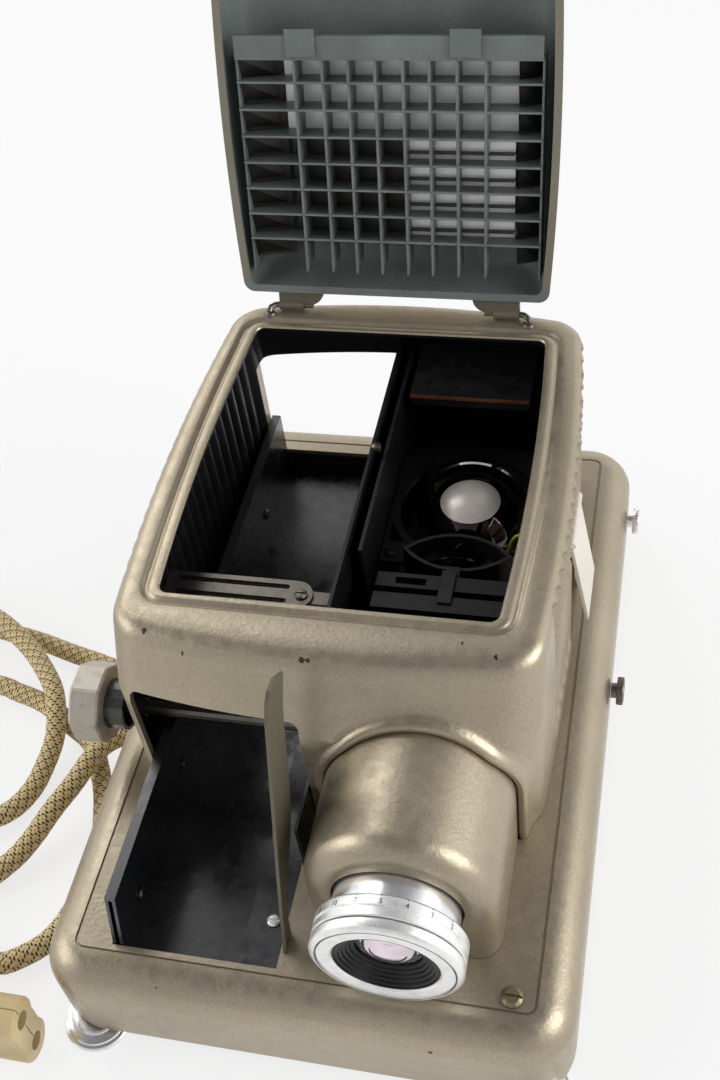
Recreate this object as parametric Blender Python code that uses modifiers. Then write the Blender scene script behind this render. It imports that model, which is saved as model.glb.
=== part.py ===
"""Slide projector with an open lamp house, a magazine track and a loose mains lead.

Lengths are in metres, +Z is up. The origin lies on the table under the middle of the projector as it
stands with its lid open; the lens looks along -Y and the magazine track is on the -X side.
"""
import math

import bmesh
import bpy
from mathutils import Matrix, Vector

# Clearances
GAP = 0.0003            # between pieces that touch
CUT = 0.003             # how far a cutter reaches past the face that it opens

# Base casting
BASE_HALF_X = 0.099
BASE_HALF_Y = 0.149
BASE_TOP = 0.050
BASE_CORNER = 0.020
BASE_ROLL = 0.0135
BASE_WALL = 0.0022
SKIRT_BOTTOM = 0.0085
GROOVE_INSET = 0.014
GROOVE_HALF_X = BASE_HALF_X - GROOVE_INSET
GROOVE_HALF_Y = BASE_HALF_Y - GROOVE_INSET
GROOVE_WIDTH = 0.001
GROOVE_DEPTH = 0.0008
PLATE_THICKNESS = 0.0015
PLATE_RISE = 0.001
TOP_SCREW_SIDE_INSET = 0.0086
TOP_SCREW_FRONT_INSET = 0.005
TOP_SCREW_X = GROOVE_HALF_X - TOP_SCREW_SIDE_INSET
TOP_SCREW_Y = TOP_SCREW_FRONT_INSET - GROOVE_HALF_Y

# Feet
FOOT_SIDE_INSET = 0.014
FOOT_FRONT_INSET = 0.0067
FOOT_X = BASE_HALF_X - FOOT_SIDE_INSET
FOOT_Y = FOOT_FRONT_INSET - BASE_HALF_Y
FOOT_WHEEL_RADIUS = 0.0134
FOOT_WHEEL_HEIGHT = 0.0060
FOOT_STEM_RADIUS = 0.002
FOOT_STEM_TOP = 0.030
REAR_FOOT_RADIUS = 0.0075
REAR_FOOT_INSET = 0.021
REAR_FOOT_X = BASE_HALF_X - REAR_FOOT_INSET
REAR_FOOT_Y = BASE_HALF_Y - REAR_FOOT_INSET

# Side thumbscrews
SIDE_SCREW_Z = 0.035
SIDE_SCREW_FRONT_Y = 0.015
SIDE_SCREW_REAR_Y = 0.112
SIDE_SCREW_RADIUS = 0.006
SIDE_SCREW_HEAD = 0.0031
SIDE_SCREW_NECK = 0.0024
SIDE_SCREW_NECK_RADIUS = 0.0032
SIDE_SCREW_SHANK = 0.010
SIDE_SCREW_SHANK_RADIUS = 0.002

# Mains inlet in the rear skirt
INLET_X = 0.055
INLET_Z = 0.026
INLET_WIDTH = 0.030
INLET_HEIGHT = 0.018
INLET_DEPTH = 0.020
INLET_FLANGE = 0.003
INLET_FLANGE_THICKNESS = 0.002
INLET_WALL = 0.0022
INLET_FLOOR = 0.004
PIN_SPACING = 0.019
PIN_RADIUS = 0.002
PIN_LENGTH = 0.012

# Magazine track
TRACK_CUT_X = (-0.0707, -0.008)
TRACK_FRONT_INSET = 0.0167
TRACK_REAR_INSET = 0.020
TRACK_CUT_Y = (TRACK_FRONT_INSET - BASE_HALF_Y, BASE_HALF_Y - TRACK_REAR_INSET)
TRACK_SHEET = 0.0012
TRACK_DEPTH = 0.014
TRACK_FLOOR = BASE_TOP - TRACK_DEPTH
TRACK_WALL_X = -0.0664
TRACK_WALL_RISE = 0.0225
TRACK_WALL_TOP = BASE_TOP + TRACK_WALL_RISE
TRACK_WALL_LEAN = 0.0065
TRACK_FLOOR_RIGHT = -0.0215
TRACK_SHELF_Z = BASE_TOP - TRACK_SHEET
TRACK_RAIL_FRONT = -0.092
TRACK_RAIL_X = -0.0068
TRACK_RAIL_THICKNESS = 0.0012
TRACK_RAIL_REAR_INSET = 0.016
TRACK_RAIL_HEIGHT = 0.028
WALL_SCREW_YS = (-0.111, -0.053, 0.085)
SMALL_SCREW_RADIUS = 0.0025
SMALL_SCREW_HEAD = 0.0012
SMALL_SCREW_LENGTH = 0.004
SHELF_SCREW_X = -0.0135
SHELF_SCREW_Y = -0.114

# Guide blade beside the track
BLADE_THICKNESS = 0.0012
BLADE_HEIGHT = 0.104
BLADE_DEPTH = 0.0575
BLADE_FOOT_FRONT = -0.1285
BLADE_FRONT_shares = ((0.04, 0.0), (0.08, 0.055), (0.15, 0.19), (0.26, 0.365), (0.37, 0.53), (0.475, 0.69),
                      (0.575, 0.84), (0.625, 0.92), (0.69, 0.982), (0.76, 1.0), (0.86, 0.99), (1.0, 0.925))
BLADE_REAR_shares = ((0.88, 0.82), (0.83, 0.745), (0.79, 0.665), (0.72, 0.54), (0.64, 0.42), (0.525, 0.33),
                     (0.385, 0.26), (0.26, 0.18), (0.20, 0.10), (0.18, 0.0))

# Lamp housing casting
HOUSING_WALL = 0.002
HOUSING_HALF_X = 0.082
HOUSING_FRONT = -0.0728
HOUSING_REAR = 0.137
HOUSING_RISE = 0.0885
HOUSING_TOP = BASE_TOP + HOUSING_RISE
HOUSING_CORNER = 0.013
HOUSING_BOW_X_share = 0.060
HOUSING_TAPER_share = 0.015
HOUSING_BOW_Y_share = 0.075
ROLL_INSET_X = 0.0060
ROLL_INSET_FRONT = 0.0215
ROLL_INSET_REAR = 0.0060
ROLL_DROP = 0.0295
ROLL_shares = ((0.0, 0.247, 0.0, 0.627), (0.0, 0.484, 0.0, 0.288), (0.012, 0.54, 0.012, 0.203), (0.077, 0.605, 0.077, 0.125),
               (0.293, 0.70, 0.293, 0.06), (0.617, 0.837, 0.617, 0.016), (1.0, 1.0, 1.0, 0.0))
RIM_SIDE_STEP = 0.0108
RIM_FRONT_STEP = 0.0159
RIM_REAR_STEP = 0.016
RIM_HALF_X = HOUSING_HALF_X - ROLL_INSET_X - RIM_SIDE_STEP
RIM_FRONT = HOUSING_FRONT + ROLL_INSET_FRONT + RIM_FRONT_STEP
RIM_REAR = HOUSING_REAR - ROLL_INSET_REAR - RIM_REAR_STEP
RIM_CORNER = 0.007
RIM_X = -0.0008
RIM_BOW_share = 0.045
RIM_GROOVE_INSET = 0.0052
RIM_GROOVE_FRONT_INSET = 0.0045
RIM_GROOVE_WIDTH = 0.001
RIM_GROOVE_DEPTH = 0.0008
TUNNEL_SIDE_INSET = 0.011
TUNNEL_RIGHT = -0.005
TUNNEL_X = (TUNNEL_SIDE_INSET - HOUSING_HALF_X, TUNNEL_RIGHT)
TUNNEL_DROP = 0.0239
TUNNEL_REAR_DROP = 0.0285
TUNNEL_TOP = HOUSING_TOP - TUNNEL_DROP
TUNNEL_REAR_TOP = HOUSING_TOP - TUNNEL_REAR_DROP
LIGHT_HOLE_RADIUS = 0.030
VENT_Y = (0.022, 0.052)
VENT_RISE = 0.006
VENT_DROP = 0.0217
VENT_Z = (BASE_TOP + VENT_RISE, HOUSING_TOP - VENT_DROP)

# Divider between the slide channel and the lamp house
DIVIDER_X = -0.004
DIVIDER_THICKNESS = 0.0014
DIVIDER_DROP = 0.0155
DIVIDER_TOP = HOUSING_TOP - DIVIDER_DROP
DIVIDER_SLOPE = 0.022
DIVIDER_SLOT_TRIM = 0.004
DIVIDER_SLOT_HEIGHT = 0.060
SECOND_SHEET_X = 0.0015
SECOND_SHEET_DROP = 0.0175
SECOND_SHEET_TOP = HOUSING_TOP - SECOND_SHEET_DROP

# Changer
CHANGER_Y = -0.0135
GUIDE_SIDE_INSET = 0.0108
GUIDE_RIGHT = -0.0125
GUIDE_X = (GUIDE_SIDE_INSET - HOUSING_HALF_X, GUIDE_RIGHT)
GUIDE_Y = (-0.0205, -0.0068)
GUIDE_DROP = 0.0225
GUIDE_Z = HOUSING_TOP - GUIDE_DROP
GUIDE_THICKNESS = 0.002
GUIDE_SLOT_WIDTH = 0.0022
GUIDE_SLOT_LENGTH = 0.046
GUIDE_SLOT_OFFSET = 0.0034
GUIDE_LIP = 0.006
GUIDE_SCREW_INSET = 0.0045
ROD_Y = -0.046
ROD_RISE = 0.0275
ROD_Z = BASE_TOP + ROD_RISE
ROD_RADIUS = 0.003
ROD_HOLE_MARGIN = 0.0005
ROD_END_X = -0.010
PUSHER_THICKNESS = 0.0024
PUSHER_HEIGHT = 0.022
PUSHER_MARGIN = 0.007
FINGER_THICKNESS = 0.002
FINGER_REACH = 0.0015
KNOB_ACROSS = 0.0305
KNOB_LENGTH = 0.0125
KNOB_REACH = 0.0228
KNOB_FACE_X = -HOUSING_HALF_X - KNOB_REACH
KNOB_BEVEL = 0.0012
COLLAR_RADIUS = 0.010
COLLAR_WALL = 0.0015
COLLAR_LENGTH = 0.0075

# Optical axis
AXIS_X = 0.0363
AXIS_RISE = 0.032
AXIS_Z = BASE_TOP + AXIS_RISE
SHROUD_RADIUS = 0.0345
SHROUD_FRONT = -0.1178
SHROUD_ROLL = 0.0060
SHROUD_WALL = 0.0024
SHROUD_BORE = 0.0233
BEAD_RADIUS = 0.0382
BEAD_LENGTH = 0.0060
BEAD_ROUND = 0.0012

# Lens
BARREL_RADIUS = 0.0223
BARREL_BORE = 0.0187
BARREL_FRONT = -0.1347
BARREL_REAR = -0.079
SLEEVE_WALL = 0.002
SLEEVE_REAR = -0.066
RING_RADIUS = 0.0265
RING_LENGTH = 0.0080
RING_GROOVE = 0.0008
FRONT_RING_LENGTH = 0.0048
FRONT_RING_FACE = 0.0237
FRONT_RING_BORE = 0.0184
CONE_RADIUS = 0.0182
CONE_LENGTH = 0.0145
CONE_STEPS = 4
CONE_STEP = 0.0014
CONE_MOUTH = 0.0174
GLASS_RADIUS = 0.0184
GLASS_EDGE = 0.003
FRONT_GLASS_BULGE = 0.0035
REAR_GLASS_BULGE = 0.0025

# Slide gate
GATE_LEFT = 0.0085
GATE_SIDE_INSET = 0.0175
GATE_X = (GATE_LEFT, HOUSING_HALF_X - GATE_SIDE_INSET)
GATE_Y = (-0.0180, 0.0065)
GATE_RISE = 0.028
GATE_TOP = AXIS_Z + GATE_RISE
GATE_SLOT_WIDTH = 0.0048
GATE_APERTURE = 0.038
GATE_CHANNEL_DEPTH = 0.004
GATE_CHANNEL_Y = (-0.0035, -0.0005)
GATE_POCKET_X = (0.0160, 0.0280)
GATE_POCKET_Y = (0.0012, 0.0045)

# Condenser
CONDENSER_Y = 0.0250
CONDENSER_HALF_WIDTH = 0.0220
CONDENSER_HALF_DEPTH = 0.0098
CONDENSER_WALL = 0.0014
CONDENSER_RISE = 0.0215
CONDENSER_DEPTH = 0.0235
CONDENSER_TOP = AXIS_Z + CONDENSER_RISE
CONDENSER_FOOT = AXIS_Z - CONDENSER_DEPTH
CONDENSER_WINDOW = 0.0175
CONDENSER_LENS_RADIUS = 0.0183
CONDENSER_LENS_EDGE = 0.0010
CONDENSER_LENS_BULGE = 0.0066
STRAP_WIDTH = 0.0057
STRAP_THICKNESS = 0.0007
STRAP_END_Y = -0.0072
STRAP_RISE_Y = 0.0090

# Lamp
LAMP_Y = 0.0590
BULB_RADIUS = 0.0195
BULB_NECK = 0.0105
BULB_NECK_DROP = 0.0175
BULB_NECK_Z = AXIS_Z - BULB_NECK_DROP
SOCKET_RADIUS = 0.0135
SOCKET_GAP = 0.004
SOCKET_TOP = BULB_NECK_Z - SOCKET_GAP
LAMP_PLATE_RISE = 0.010
LAMP_PLATE_Z = AXIS_Z + LAMP_PLATE_RISE
LAMP_PLATE_THICKNESS = 0.0025
LAMP_HOLE_RADIUS = 0.0295
LAMP_PLATE_LEFT = 0.0035
LAMP_PLATE_SIDE_INSET = 0.0155
LAMP_PLATE_X = (LAMP_PLATE_LEFT, HOUSING_HALF_X - LAMP_PLATE_SIDE_INSET)
LAMP_PLATE_Y = (0.0262, 0.0945)
LAMP_POST_RADIUS = 0.003
LAMP_BOSS_X = 0.0073
LAMP_BOSS_Y = 0.0310
LAMP_CORNER = 0.0090
LAMP_FRONT_MARGIN = 0.0010
WEB_INSET = 0.0016
WEB_WIDTH = 0.0064
WEB_LENGTH = 0.0110
WEB_Y = 0.0372
MIRROR_RADIUS = 0.0262
MIRROR_WALL = 0.0009
MIRROR_RIM = 0.0200
MIRROR_STEM_RADIUS = 0.003
SHELF_X = (0.0060, 0.0570)
SHELF_FRONT = 0.0960
SHELF_REAR_INSET = 0.0074
SHELF_Y = (SHELF_FRONT, HOUSING_REAR - SHELF_REAR_INSET)
SHELF_DROP = 0.019
SHELF_Z = HOUSING_TOP - SHELF_DROP
SHELF_THICKNESS = 0.0015
SHELF_LIP = 0.004
WIRE_RADIUS = 0.0013
WIRE_ROUTE = ((0.0511, 0.0620, 0.0540), (0.0540, 0.0660, 0.0610), (0.0575, 0.0680, 0.0700), (0.0600, 0.0650, 0.0780),
              (0.0620, 0.0570, 0.0810), (0.0632, 0.0490, 0.0770), (0.0635, 0.0430, 0.0670), (0.0635, 0.0410, 0.0580),
              (0.0635, 0.0408, 0.0518))

# Lid, drawn closed and then swung open about its hinge
HINGE_INSET = 0.0095
HINGE_RISE = 0.0027
HINGE_Y = HOUSING_REAR - HINGE_INSET
HINGE_Z = HOUSING_TOP + HINGE_RISE
LID_OPEN = math.radians(105.5)
LID_X = -0.0044
LID_OVERHANG = 0.0038
LID_HALF_X = RIM_HALF_X + LID_OVERHANG
LID_LENGTH = 0.1640
LID_REAR_OVERHANG = 0.006
LID_REAR = RIM_REAR + LID_REAR_OVERHANG
LID_HEIGHT = 0.0230
LID_WALL = 0.0016
LID_CORNER = 0.0045
LID_BOW_share = 0.045
LID_SEAT = 0.0004
LID_shares = ((0.0, 0.0), (0.015, 0.40), (0.045, 0.66), (0.10, 0.86), (0.20, 0.97), (0.34, 1.0))
BAFFLE_SIDE_INSET = 0.0076
BAFFLE_HALF_X = LID_HALF_X - BAFFLE_SIDE_INSET
BAFFLE_LENGTH = 0.0905
BAFFLE_REAR_INSET = 0.0085
BAFFLE_ROW_PITCH = 0.01083
BAFFLE_FIRST_SHORT = 0.0016
BAFFLE_DEPTH = 0.0120
BAFFLE_BAR = 0.0009
BAFFLE_COLUMNS = 11
BAFFLE_ROWS = 8
BAFFLE_FRAME = 0.0014
BAFFLE_FLANGE = 0.0012
BAFFLE_FLANGE_DEPTH = 0.0080
SPRING_CLIP_X = (0.0339, 0.0316)
SPRING_CLIP_WIDTH = 0.0120
SPRING_CLIP_LENGTH = 0.0105
SPRING_CLIP_THICKNESS = 0.0007
LUG_INSET = 0.0265
LUG_X = LID_HALF_X - LUG_INSET
LUG_WIDTH = 0.0198
LUG_BARREL = 0.0024
PIN_INSET = 0.0145
PIN_X = LID_HALF_X - PIN_INSET
HINGE_SHIFT = 0.0012
HINGE_PIN_RADIUS = 0.0013

# Vent flap
FLAP_LENGTH = 0.0275
FLAP_HEIGHT = 0.0440
FLAP_THICKNESS = 0.0012
FLAP_TILT = math.radians(9.0)
FLAP_INSET = 0.0008
FLAP_HINGE_DROP = 0.0026
FLAP_HINGE_X = HOUSING_HALF_X - FLAP_INSET
FLAP_HINGE_Z = VENT_Z[1] - FLAP_HINGE_DROP
FLAP_Y = 0.0370
FLAP_PIN_RADIUS = 0.0010
FLAP_BARREL_RADIUS = 0.0018

# Mains lead
CORD_RADIUS = 0.0045
CORD_STEPS = 76
CONNECTOR_FACE_X = -0.1040
CONNECTOR_Y = -0.1571
CONNECTOR_LENGTH = 0.056
CONNECTOR_LOBE = 0.0085
CONNECTOR_HOLE = 0.0036
CONNECTOR_HOLE_DEPTH = 0.020
CONNECTOR_NECK_RADIUS = 0.0068
CONNECTOR_NECK_LENGTH = 0.016
CORD_ROUTE = (
    (-0.1768, -0.1571, 0.0180), (-0.1858, -0.1571, 0.0180), (-0.1960, -0.1568, 0.0165), (-0.2110, -0.1530, 0.0095),
    (-0.2270, -0.1440, 0.0062),
    (-0.2325, -0.1265, 0.0052), (-0.2180, -0.1110, 0.0049), (-0.1880, -0.1130, 0.0049), (-0.1590, -0.1210, 0.0049),
    (-0.1350, -0.1285, 0.0049), (-0.1230, -0.1235, 0.0049), (-0.1135, -0.1130, 0.0049), (-0.1085, -0.0950, 0.0049),
    (-0.1075, -0.0740, 0.0049), (-0.1130, -0.0520, 0.0049), (-0.1190, -0.0380, 0.0049), (-0.1290, -0.0220, 0.0049),
    (-0.1410, -0.0140, 0.0049), (-0.1520, -0.0070, 0.0049), (-0.1630, -0.0020, 0.0049), (-0.1740, 0.0010, 0.0049),
    (-0.1850, 0.0040, 0.0049), (-0.2100, 0.0040, 0.0049), (-0.2310, -0.0080, 0.0049), (-0.2400, -0.0310, 0.0049),
    (-0.2310, -0.0560, 0.0049), (-0.2080, -0.0790, 0.0049), (-0.1780, -0.0960, 0.0049), (-0.1560, -0.0960, 0.0050),
    (-0.1440, -0.0850, 0.0062), (-0.1370, -0.0740, 0.0090), (-0.1310, -0.0620, 0.0135), (-0.1255, -0.0490, 0.0150),
    (-0.1220, -0.0360, 0.0150), (-0.1185, -0.0260, 0.0130), (-0.1120, -0.0150, 0.0080), (-0.1085, -0.0030, 0.0050),
    (-0.1118, 0.0070, 0.0049), (-0.1225, 0.0165, 0.0049), (-0.1380, 0.0220, 0.0049), (-0.1540, 0.0260, 0.0049),
    (-0.1720, 0.0310, 0.0049), (-0.1870, 0.0340, 0.0049), (-0.2020, 0.0360, 0.0049), (-0.2340, 0.0330, 0.0049),
    (-0.2640, 0.0150, 0.0049), (-0.2760, -0.0130, 0.0049), (-0.2700, -0.0420, 0.0049), (-0.2470, -0.0620, 0.0100),
    (-0.2150, -0.0680, 0.0150), (-0.1850, -0.0700, 0.0105), (-0.1640, -0.0670, 0.0062), (-0.1540, -0.0605, 0.0050),
    (-0.1480, -0.0490, 0.0050), (-0.1460, -0.0360, 0.0062), (-0.1450, -0.0240, 0.0095), (-0.1475, -0.0120, 0.0135),
    (-0.1520, -0.0020, 0.0150), (-0.1600, 0.0080, 0.0150), (-0.1700, 0.0180, 0.0150), (-0.1820, 0.0270, 0.0155),
    (-0.1950, 0.0350, 0.0155), (-0.2130, 0.0430, 0.0150), (-0.2350, 0.0520, 0.0100), (-0.2620, 0.0600, 0.0055),
    (-0.2860, 0.0620, 0.0049), (-0.3100, 0.0590, 0.0049))
COIL_RADIUS = 0.0575
COIL_X = -0.3760
COIL_Y = 0.0005
COIL_LOOPS = 4
COIL_LAYERS = 2
COIL_POINTS = 24
COIL_PITCH = 0.0102
COIL_RISE = 0.0101
PLUG_RADIUS = 0.0185
PLUG_LENGTH = 0.034
PLUG_NECK_RADIUS = 0.0070
PLUG_NECK_LENGTH = 0.014
PLUG_LEAD = 0.036       # how far the lead climbs from the coil to the middle of the plug
PLUG_PIN_SPACING = 0.019
PLUG_PIN_RADIUS = 0.0024
PLUG_PIN_LENGTH = 0.019

# Colours: red, green, blue, roughness, metallic
PAINT = (0.36, 0.33, 0.27, 0.42, 0.55)
BLACK = (0.015, 0.016, 0.018, 0.45, 0.2)
INNER = (0.012, 0.012, 0.014, 0.7, 0.1)
CHROME = (0.75, 0.75, 0.76, 0.18, 1.0)
SATIN = (0.55, 0.55, 0.54, 0.38, 1.0)
STEEL = (0.40, 0.39, 0.38, 0.35, 1.0)
GUNMETAL = (0.20, 0.20, 0.20, 0.4, 0.7)
LID_GREY = (0.24, 0.25, 0.25, 0.5, 0.2)
GLASS = (0.10, 0.10, 0.12, 0.05, 0.0)
SILVER = (0.70, 0.66, 0.62, 0.2, 1.0)
BAKELITE = (0.02, 0.02, 0.02, 0.35, 0.0)
BEIGE = (0.55, 0.47, 0.32, 0.35, 0.0)
BRAID = (0.68, 0.58, 0.38, 0.9, 0.0)
WIRE = (0.55, 0.60, 0.08, 0.5, 0.0)
RUBBER = (0.03, 0.03, 0.03, 0.8, 0.0)
OLIVE = (0.10, 0.095, 0.07, 0.4, 0.5)

SMOOTH = math.radians(40)
ROUND = 28              # facets round a large turned piece
SMALL_ROUND = 12        # facets round a small one
MERGE = 0.00001
COLLECTION = "slide_projector"
CUTTERS = "cutters"

parts = None
cutters = None
materials = {}


def clear_scene():
    """Remove whatever the file holds."""
    for obj in list(bpy.data.objects):
        bpy.data.objects.remove(obj, do_unlink=True)
    for collection in list(bpy.data.collections):
        bpy.data.collections.remove(collection)


def material(name, look):
    """A Principled material from a (red, green, blue, roughness, metallic) row."""
    if name not in materials:
        mat = bpy.data.materials.new(name)
        mat.use_nodes = True
        shader = mat.node_tree.nodes["Principled BSDF"]
        shader.inputs["Base Color"].default_value = (look[0], look[1], look[2], 1)
        shader.inputs["Roughness"].default_value = look[3]
        shader.inputs["Metallic"].default_value = look[4]
        mat.diffuse_color = (look[0], look[1], look[2], 1)
        materials[name] = mat
    return materials[name]


def add_object(name, data, look=None, cutter=False):
    """Link an object with its own material, or as a hidden cutter."""
    obj = bpy.data.objects.new(name, data)
    (cutters if cutter else parts).objects.link(obj)
    if cutter:
        obj.hide_render = True
        obj.display_type = 'WIRE'
    elif look is not None:
        data.materials.append(material(name + "_finish", look))
    return obj


def from_bmesh(name, bm, look=None, cutter=False, smooth=False):
    """Turn a bmesh into an object with its faces pointing out."""
    bmesh.ops.recalc_face_normals(bm, faces=bm.faces)
    mesh = bpy.data.meshes.new(name)
    bm.to_mesh(mesh)
    bm.free()
    if smooth:
        mesh.shade_smooth()
        mesh.set_sharp_from_angle(angle=SMOOTH)
    return add_object(name, mesh, look, cutter)


def add_box(bm, low, high):
    """Add a box between two corners to a bmesh."""
    made = bmesh.ops.create_cube(bm, size=1)
    size = [high[i] - low[i] for i in range(3)]
    middle = [(high[i] + low[i]) / 2 for i in range(3)]
    bmesh.ops.scale(bm, vec=size, verts=made["verts"])
    bmesh.ops.translate(bm, vec=middle, verts=made["verts"])


def box(name, low, high, look=None, cutter=False):
    """One box object between two corners."""
    bm = bmesh.new()
    add_box(bm, low, high)
    return from_bmesh(name, bm, look, cutter)


def axis_matrix(axis):
    """Rotation that takes +Z to the named axis."""
    direction = {"x": (1, 0, 0), "-x": (-1, 0, 0), "y": (0, 1, 0), "-y": (0, -1, 0), "z": (0, 0, 1), "-z": (0, 0, -1)}
    return Vector((0, 0, 1)).rotation_difference(Vector(direction[axis])).to_matrix().to_4x4()


def cylinder(name, start, axis, radius, length, look=None, cutter=False, facets=SMALL_ROUND, turn=0.0):
    """A cylinder that starts at a point and runs along an axis."""
    bm = bmesh.new()
    bmesh.ops.create_cone(bm, cap_ends=True, segments=facets, radius1=radius, radius2=radius, depth=length)
    bmesh.ops.translate(bm, vec=(0, 0, length / 2), verts=bm.verts)
    bmesh.ops.rotate(bm, matrix=Matrix.Rotation(turn, 3, 'Z'), verts=bm.verts)
    obj = from_bmesh(name, bm, look, cutter, smooth=True)
    obj.matrix_world = Matrix.Translation(start) @ axis_matrix(axis)
    return obj


def turned(name, profile, centre, axis, look=None, cutter=False, facets=ROUND):
    """A turned piece: (radius, height) points run down its outer side, top to bottom, closed by the Screw."""
    mesh = bpy.data.meshes.new(name)
    closed = profile[0][0] > 0 or profile[-1][0] > 0
    edges = [(i, i + 1) for i in range(len(profile) - 1)]
    if closed:
        edges.append((len(profile) - 1, 0))
    mesh.from_pydata([(radius, 0, height) for radius, height in profile], edges, [])
    obj = add_object(name, mesh, look, cutter)
    screw = obj.modifiers.new("Turn", 'SCREW')
    screw.steps = facets
    screw.render_steps = facets
    screw.use_merge_vertices = True
    screw.merge_threshold = MERGE
    screw.use_smooth_shade = True
    obj.matrix_world = Matrix.Translation(centre) @ axis_matrix(axis)
    return obj


def ring_profile(outer, inner, low, high):
    """Profile of a plain tube."""
    return ((inner, high), (outer, high), (outer, low), (inner, low))


def arc(centre, radius, start, stop, count):
    """Points on an arc, both ends included."""
    return [(centre[0] + radius * math.cos(start + (stop - start) * i / count),
             centre[1] + radius * math.sin(start + (stop - start) * i / count)) for i in range(count + 1)]


def boolean(obj, other, operation='DIFFERENCE', hide=True):
    """Cut, join or keep an object with another, in the exact way."""
    mod = obj.modifiers.new(operation.title(), 'BOOLEAN')
    mod.operation = operation
    mod.object = other
    mod.solver = 'EXACT'
    if hide:
        other.hide_render = True
        other.display_type = 'WIRE'
    return mod


def bevel(obj, width, segments=2, angle=30):
    """Round the edges of an object."""
    mod = obj.modifiers.new("Edges", 'BEVEL')
    mod.width = width
    mod.segments = segments
    mod.limit_method = 'ANGLE'
    mod.angle_limit = math.radians(angle)
    return mod


def flat_shape(name, outline, thickness, plane, level, look=None, cutter=False, holes=()):
    """A flat piece from a closed outline, drawn as a filled 2D curve and made a mesh.

    plane "xy" puts the outline at height level, "yz" at x = level and "xz" at y = level; the thickness
    is centred on the level.
    """
    curve = bpy.data.curves.new(name + "_outline", 'CURVE')
    curve.dimensions = '2D'
    curve.fill_mode = 'BOTH'
    curve.extrude = thickness / 2
    for points in (outline,) + tuple(holes):
        spline = curve.splines.new('POLY')
        spline.points.add(len(points) - 1)
        for point, (u, v) in zip(spline.points, points):
            point.co = (u, v, 0, 1)
        spline.use_cyclic_u = True
    drawn = bpy.data.objects.new(name + "_drawn", curve)
    bpy.context.scene.collection.objects.link(drawn)
    evaluated = drawn.evaluated_get(bpy.context.evaluated_depsgraph_get())
    mesh = bpy.data.meshes.new_from_object(evaluated)
    bpy.data.objects.remove(drawn, do_unlink=True)
    bm = bmesh.new()
    bm.from_mesh(mesh)
    bmesh.ops.remove_doubles(bm, verts=bm.verts, dist=MERGE)
    place = {
        "xy": Matrix(((1, 0, 0, 0), (0, 1, 0, 0), (0, 0, 1, level), (0, 0, 0, 1))),
        "yz": Matrix(((0, 0, 1, level), (1, 0, 0, 0), (0, 1, 0, 0), (0, 0, 0, 1))),
        "xz": Matrix(((1, 0, 0, 0), (0, 0, -1, level), (0, 1, 0, 0), (0, 0, 0, 1))),
    }[plane]
    bmesh.ops.transform(bm, matrix=place, verts=bm.verts)
    return from_bmesh(name, bm, look, cutter)


def loft(bm, rings, cap_first=True, cap_last=True, closed=False):
    """Skin a row of rings with equal point counts."""
    rows = [[bm.verts.new(point) for point in ring] for ring in rings]
    pairs = list(zip(rows, rows[1:]))
    if closed:
        pairs.append((rows[-1], rows[0]))
    for first, second in pairs:
        count = len(first)
        for i in range(count):
            j = (i + 1) % count
            bm.faces.new((first[i], first[j], second[j], second[i]))
    if cap_first and not closed:
        bm.faces.new(list(reversed(rows[0])))
    if cap_last and not closed:
        bm.faces.new(rows[-1])


def plan_ring(half_x, front, rear, corner, z, bow_x=0.0, bow_y=0.0, taper=0.0, middle=0.0, facets=4, runs=4):
    """A rounded rectangle seen from above, with sides that may bow out and narrow towards the rear."""
    half_y = (rear - front) / 2
    centre = (rear + front) / 2
    points = []
    corners = ((1, -1, -math.pi / 2), (1, 1, 0.0), (-1, 1, math.pi / 2), (-1, -1, math.pi))
    for index, (sx, sy, start) in enumerate(corners):
        origin = (sx * (half_x - corner), sy * (half_y - corner))
        here = arc(origin, corner, start, start + math.pi / 2, facets)
        points.extend(here)
        nx, ny, following = corners[(index + 1) % len(corners)]
        nxt = arc((nx * (half_x - corner), ny * (half_y - corner)), corner, following, following, 1)[0]
        last = here[-1]
        points.extend((last[0] + (nxt[0] - last[0]) * k / runs, last[1] + (nxt[1] - last[1]) * k / runs)
                      for k in range(1, runs))
    ring = []
    for x, y in points:
        tx = x / half_x
        ty = y / half_y
        ring.append((middle + x * (1 - bow_x * ty * ty - taper * ty), centre + y * (1 - bow_y * tx * tx), z))
    return ring


def hang(child, parent):
    """Parent an object and keep it where it stands."""
    bpy.context.view_layer.update()
    child.parent = parent
    child.matrix_parent_inverse = parent.matrix_world.inverted()


def empty(name, place):
    """A pivot for a moving piece."""
    obj = bpy.data.objects.new(name, None)
    parts.objects.link(obj)
    obj.location = place
    return obj


def tube(name, points, radius, look, resolution=2):
    """A round wire through the given points."""
    curve = bpy.data.curves.new(name, 'CURVE')
    curve.dimensions = '3D'
    curve.bevel_depth = radius
    curve.bevel_resolution = resolution
    curve.use_fill_caps = True
    spline = curve.splines.new('POLY')
    spline.points.add(len(points) - 1)
    for point, place in zip(spline.points, points):
        point.co = (place[0], place[1], place[2], 1)
    return add_object(name, curve, look)


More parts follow.
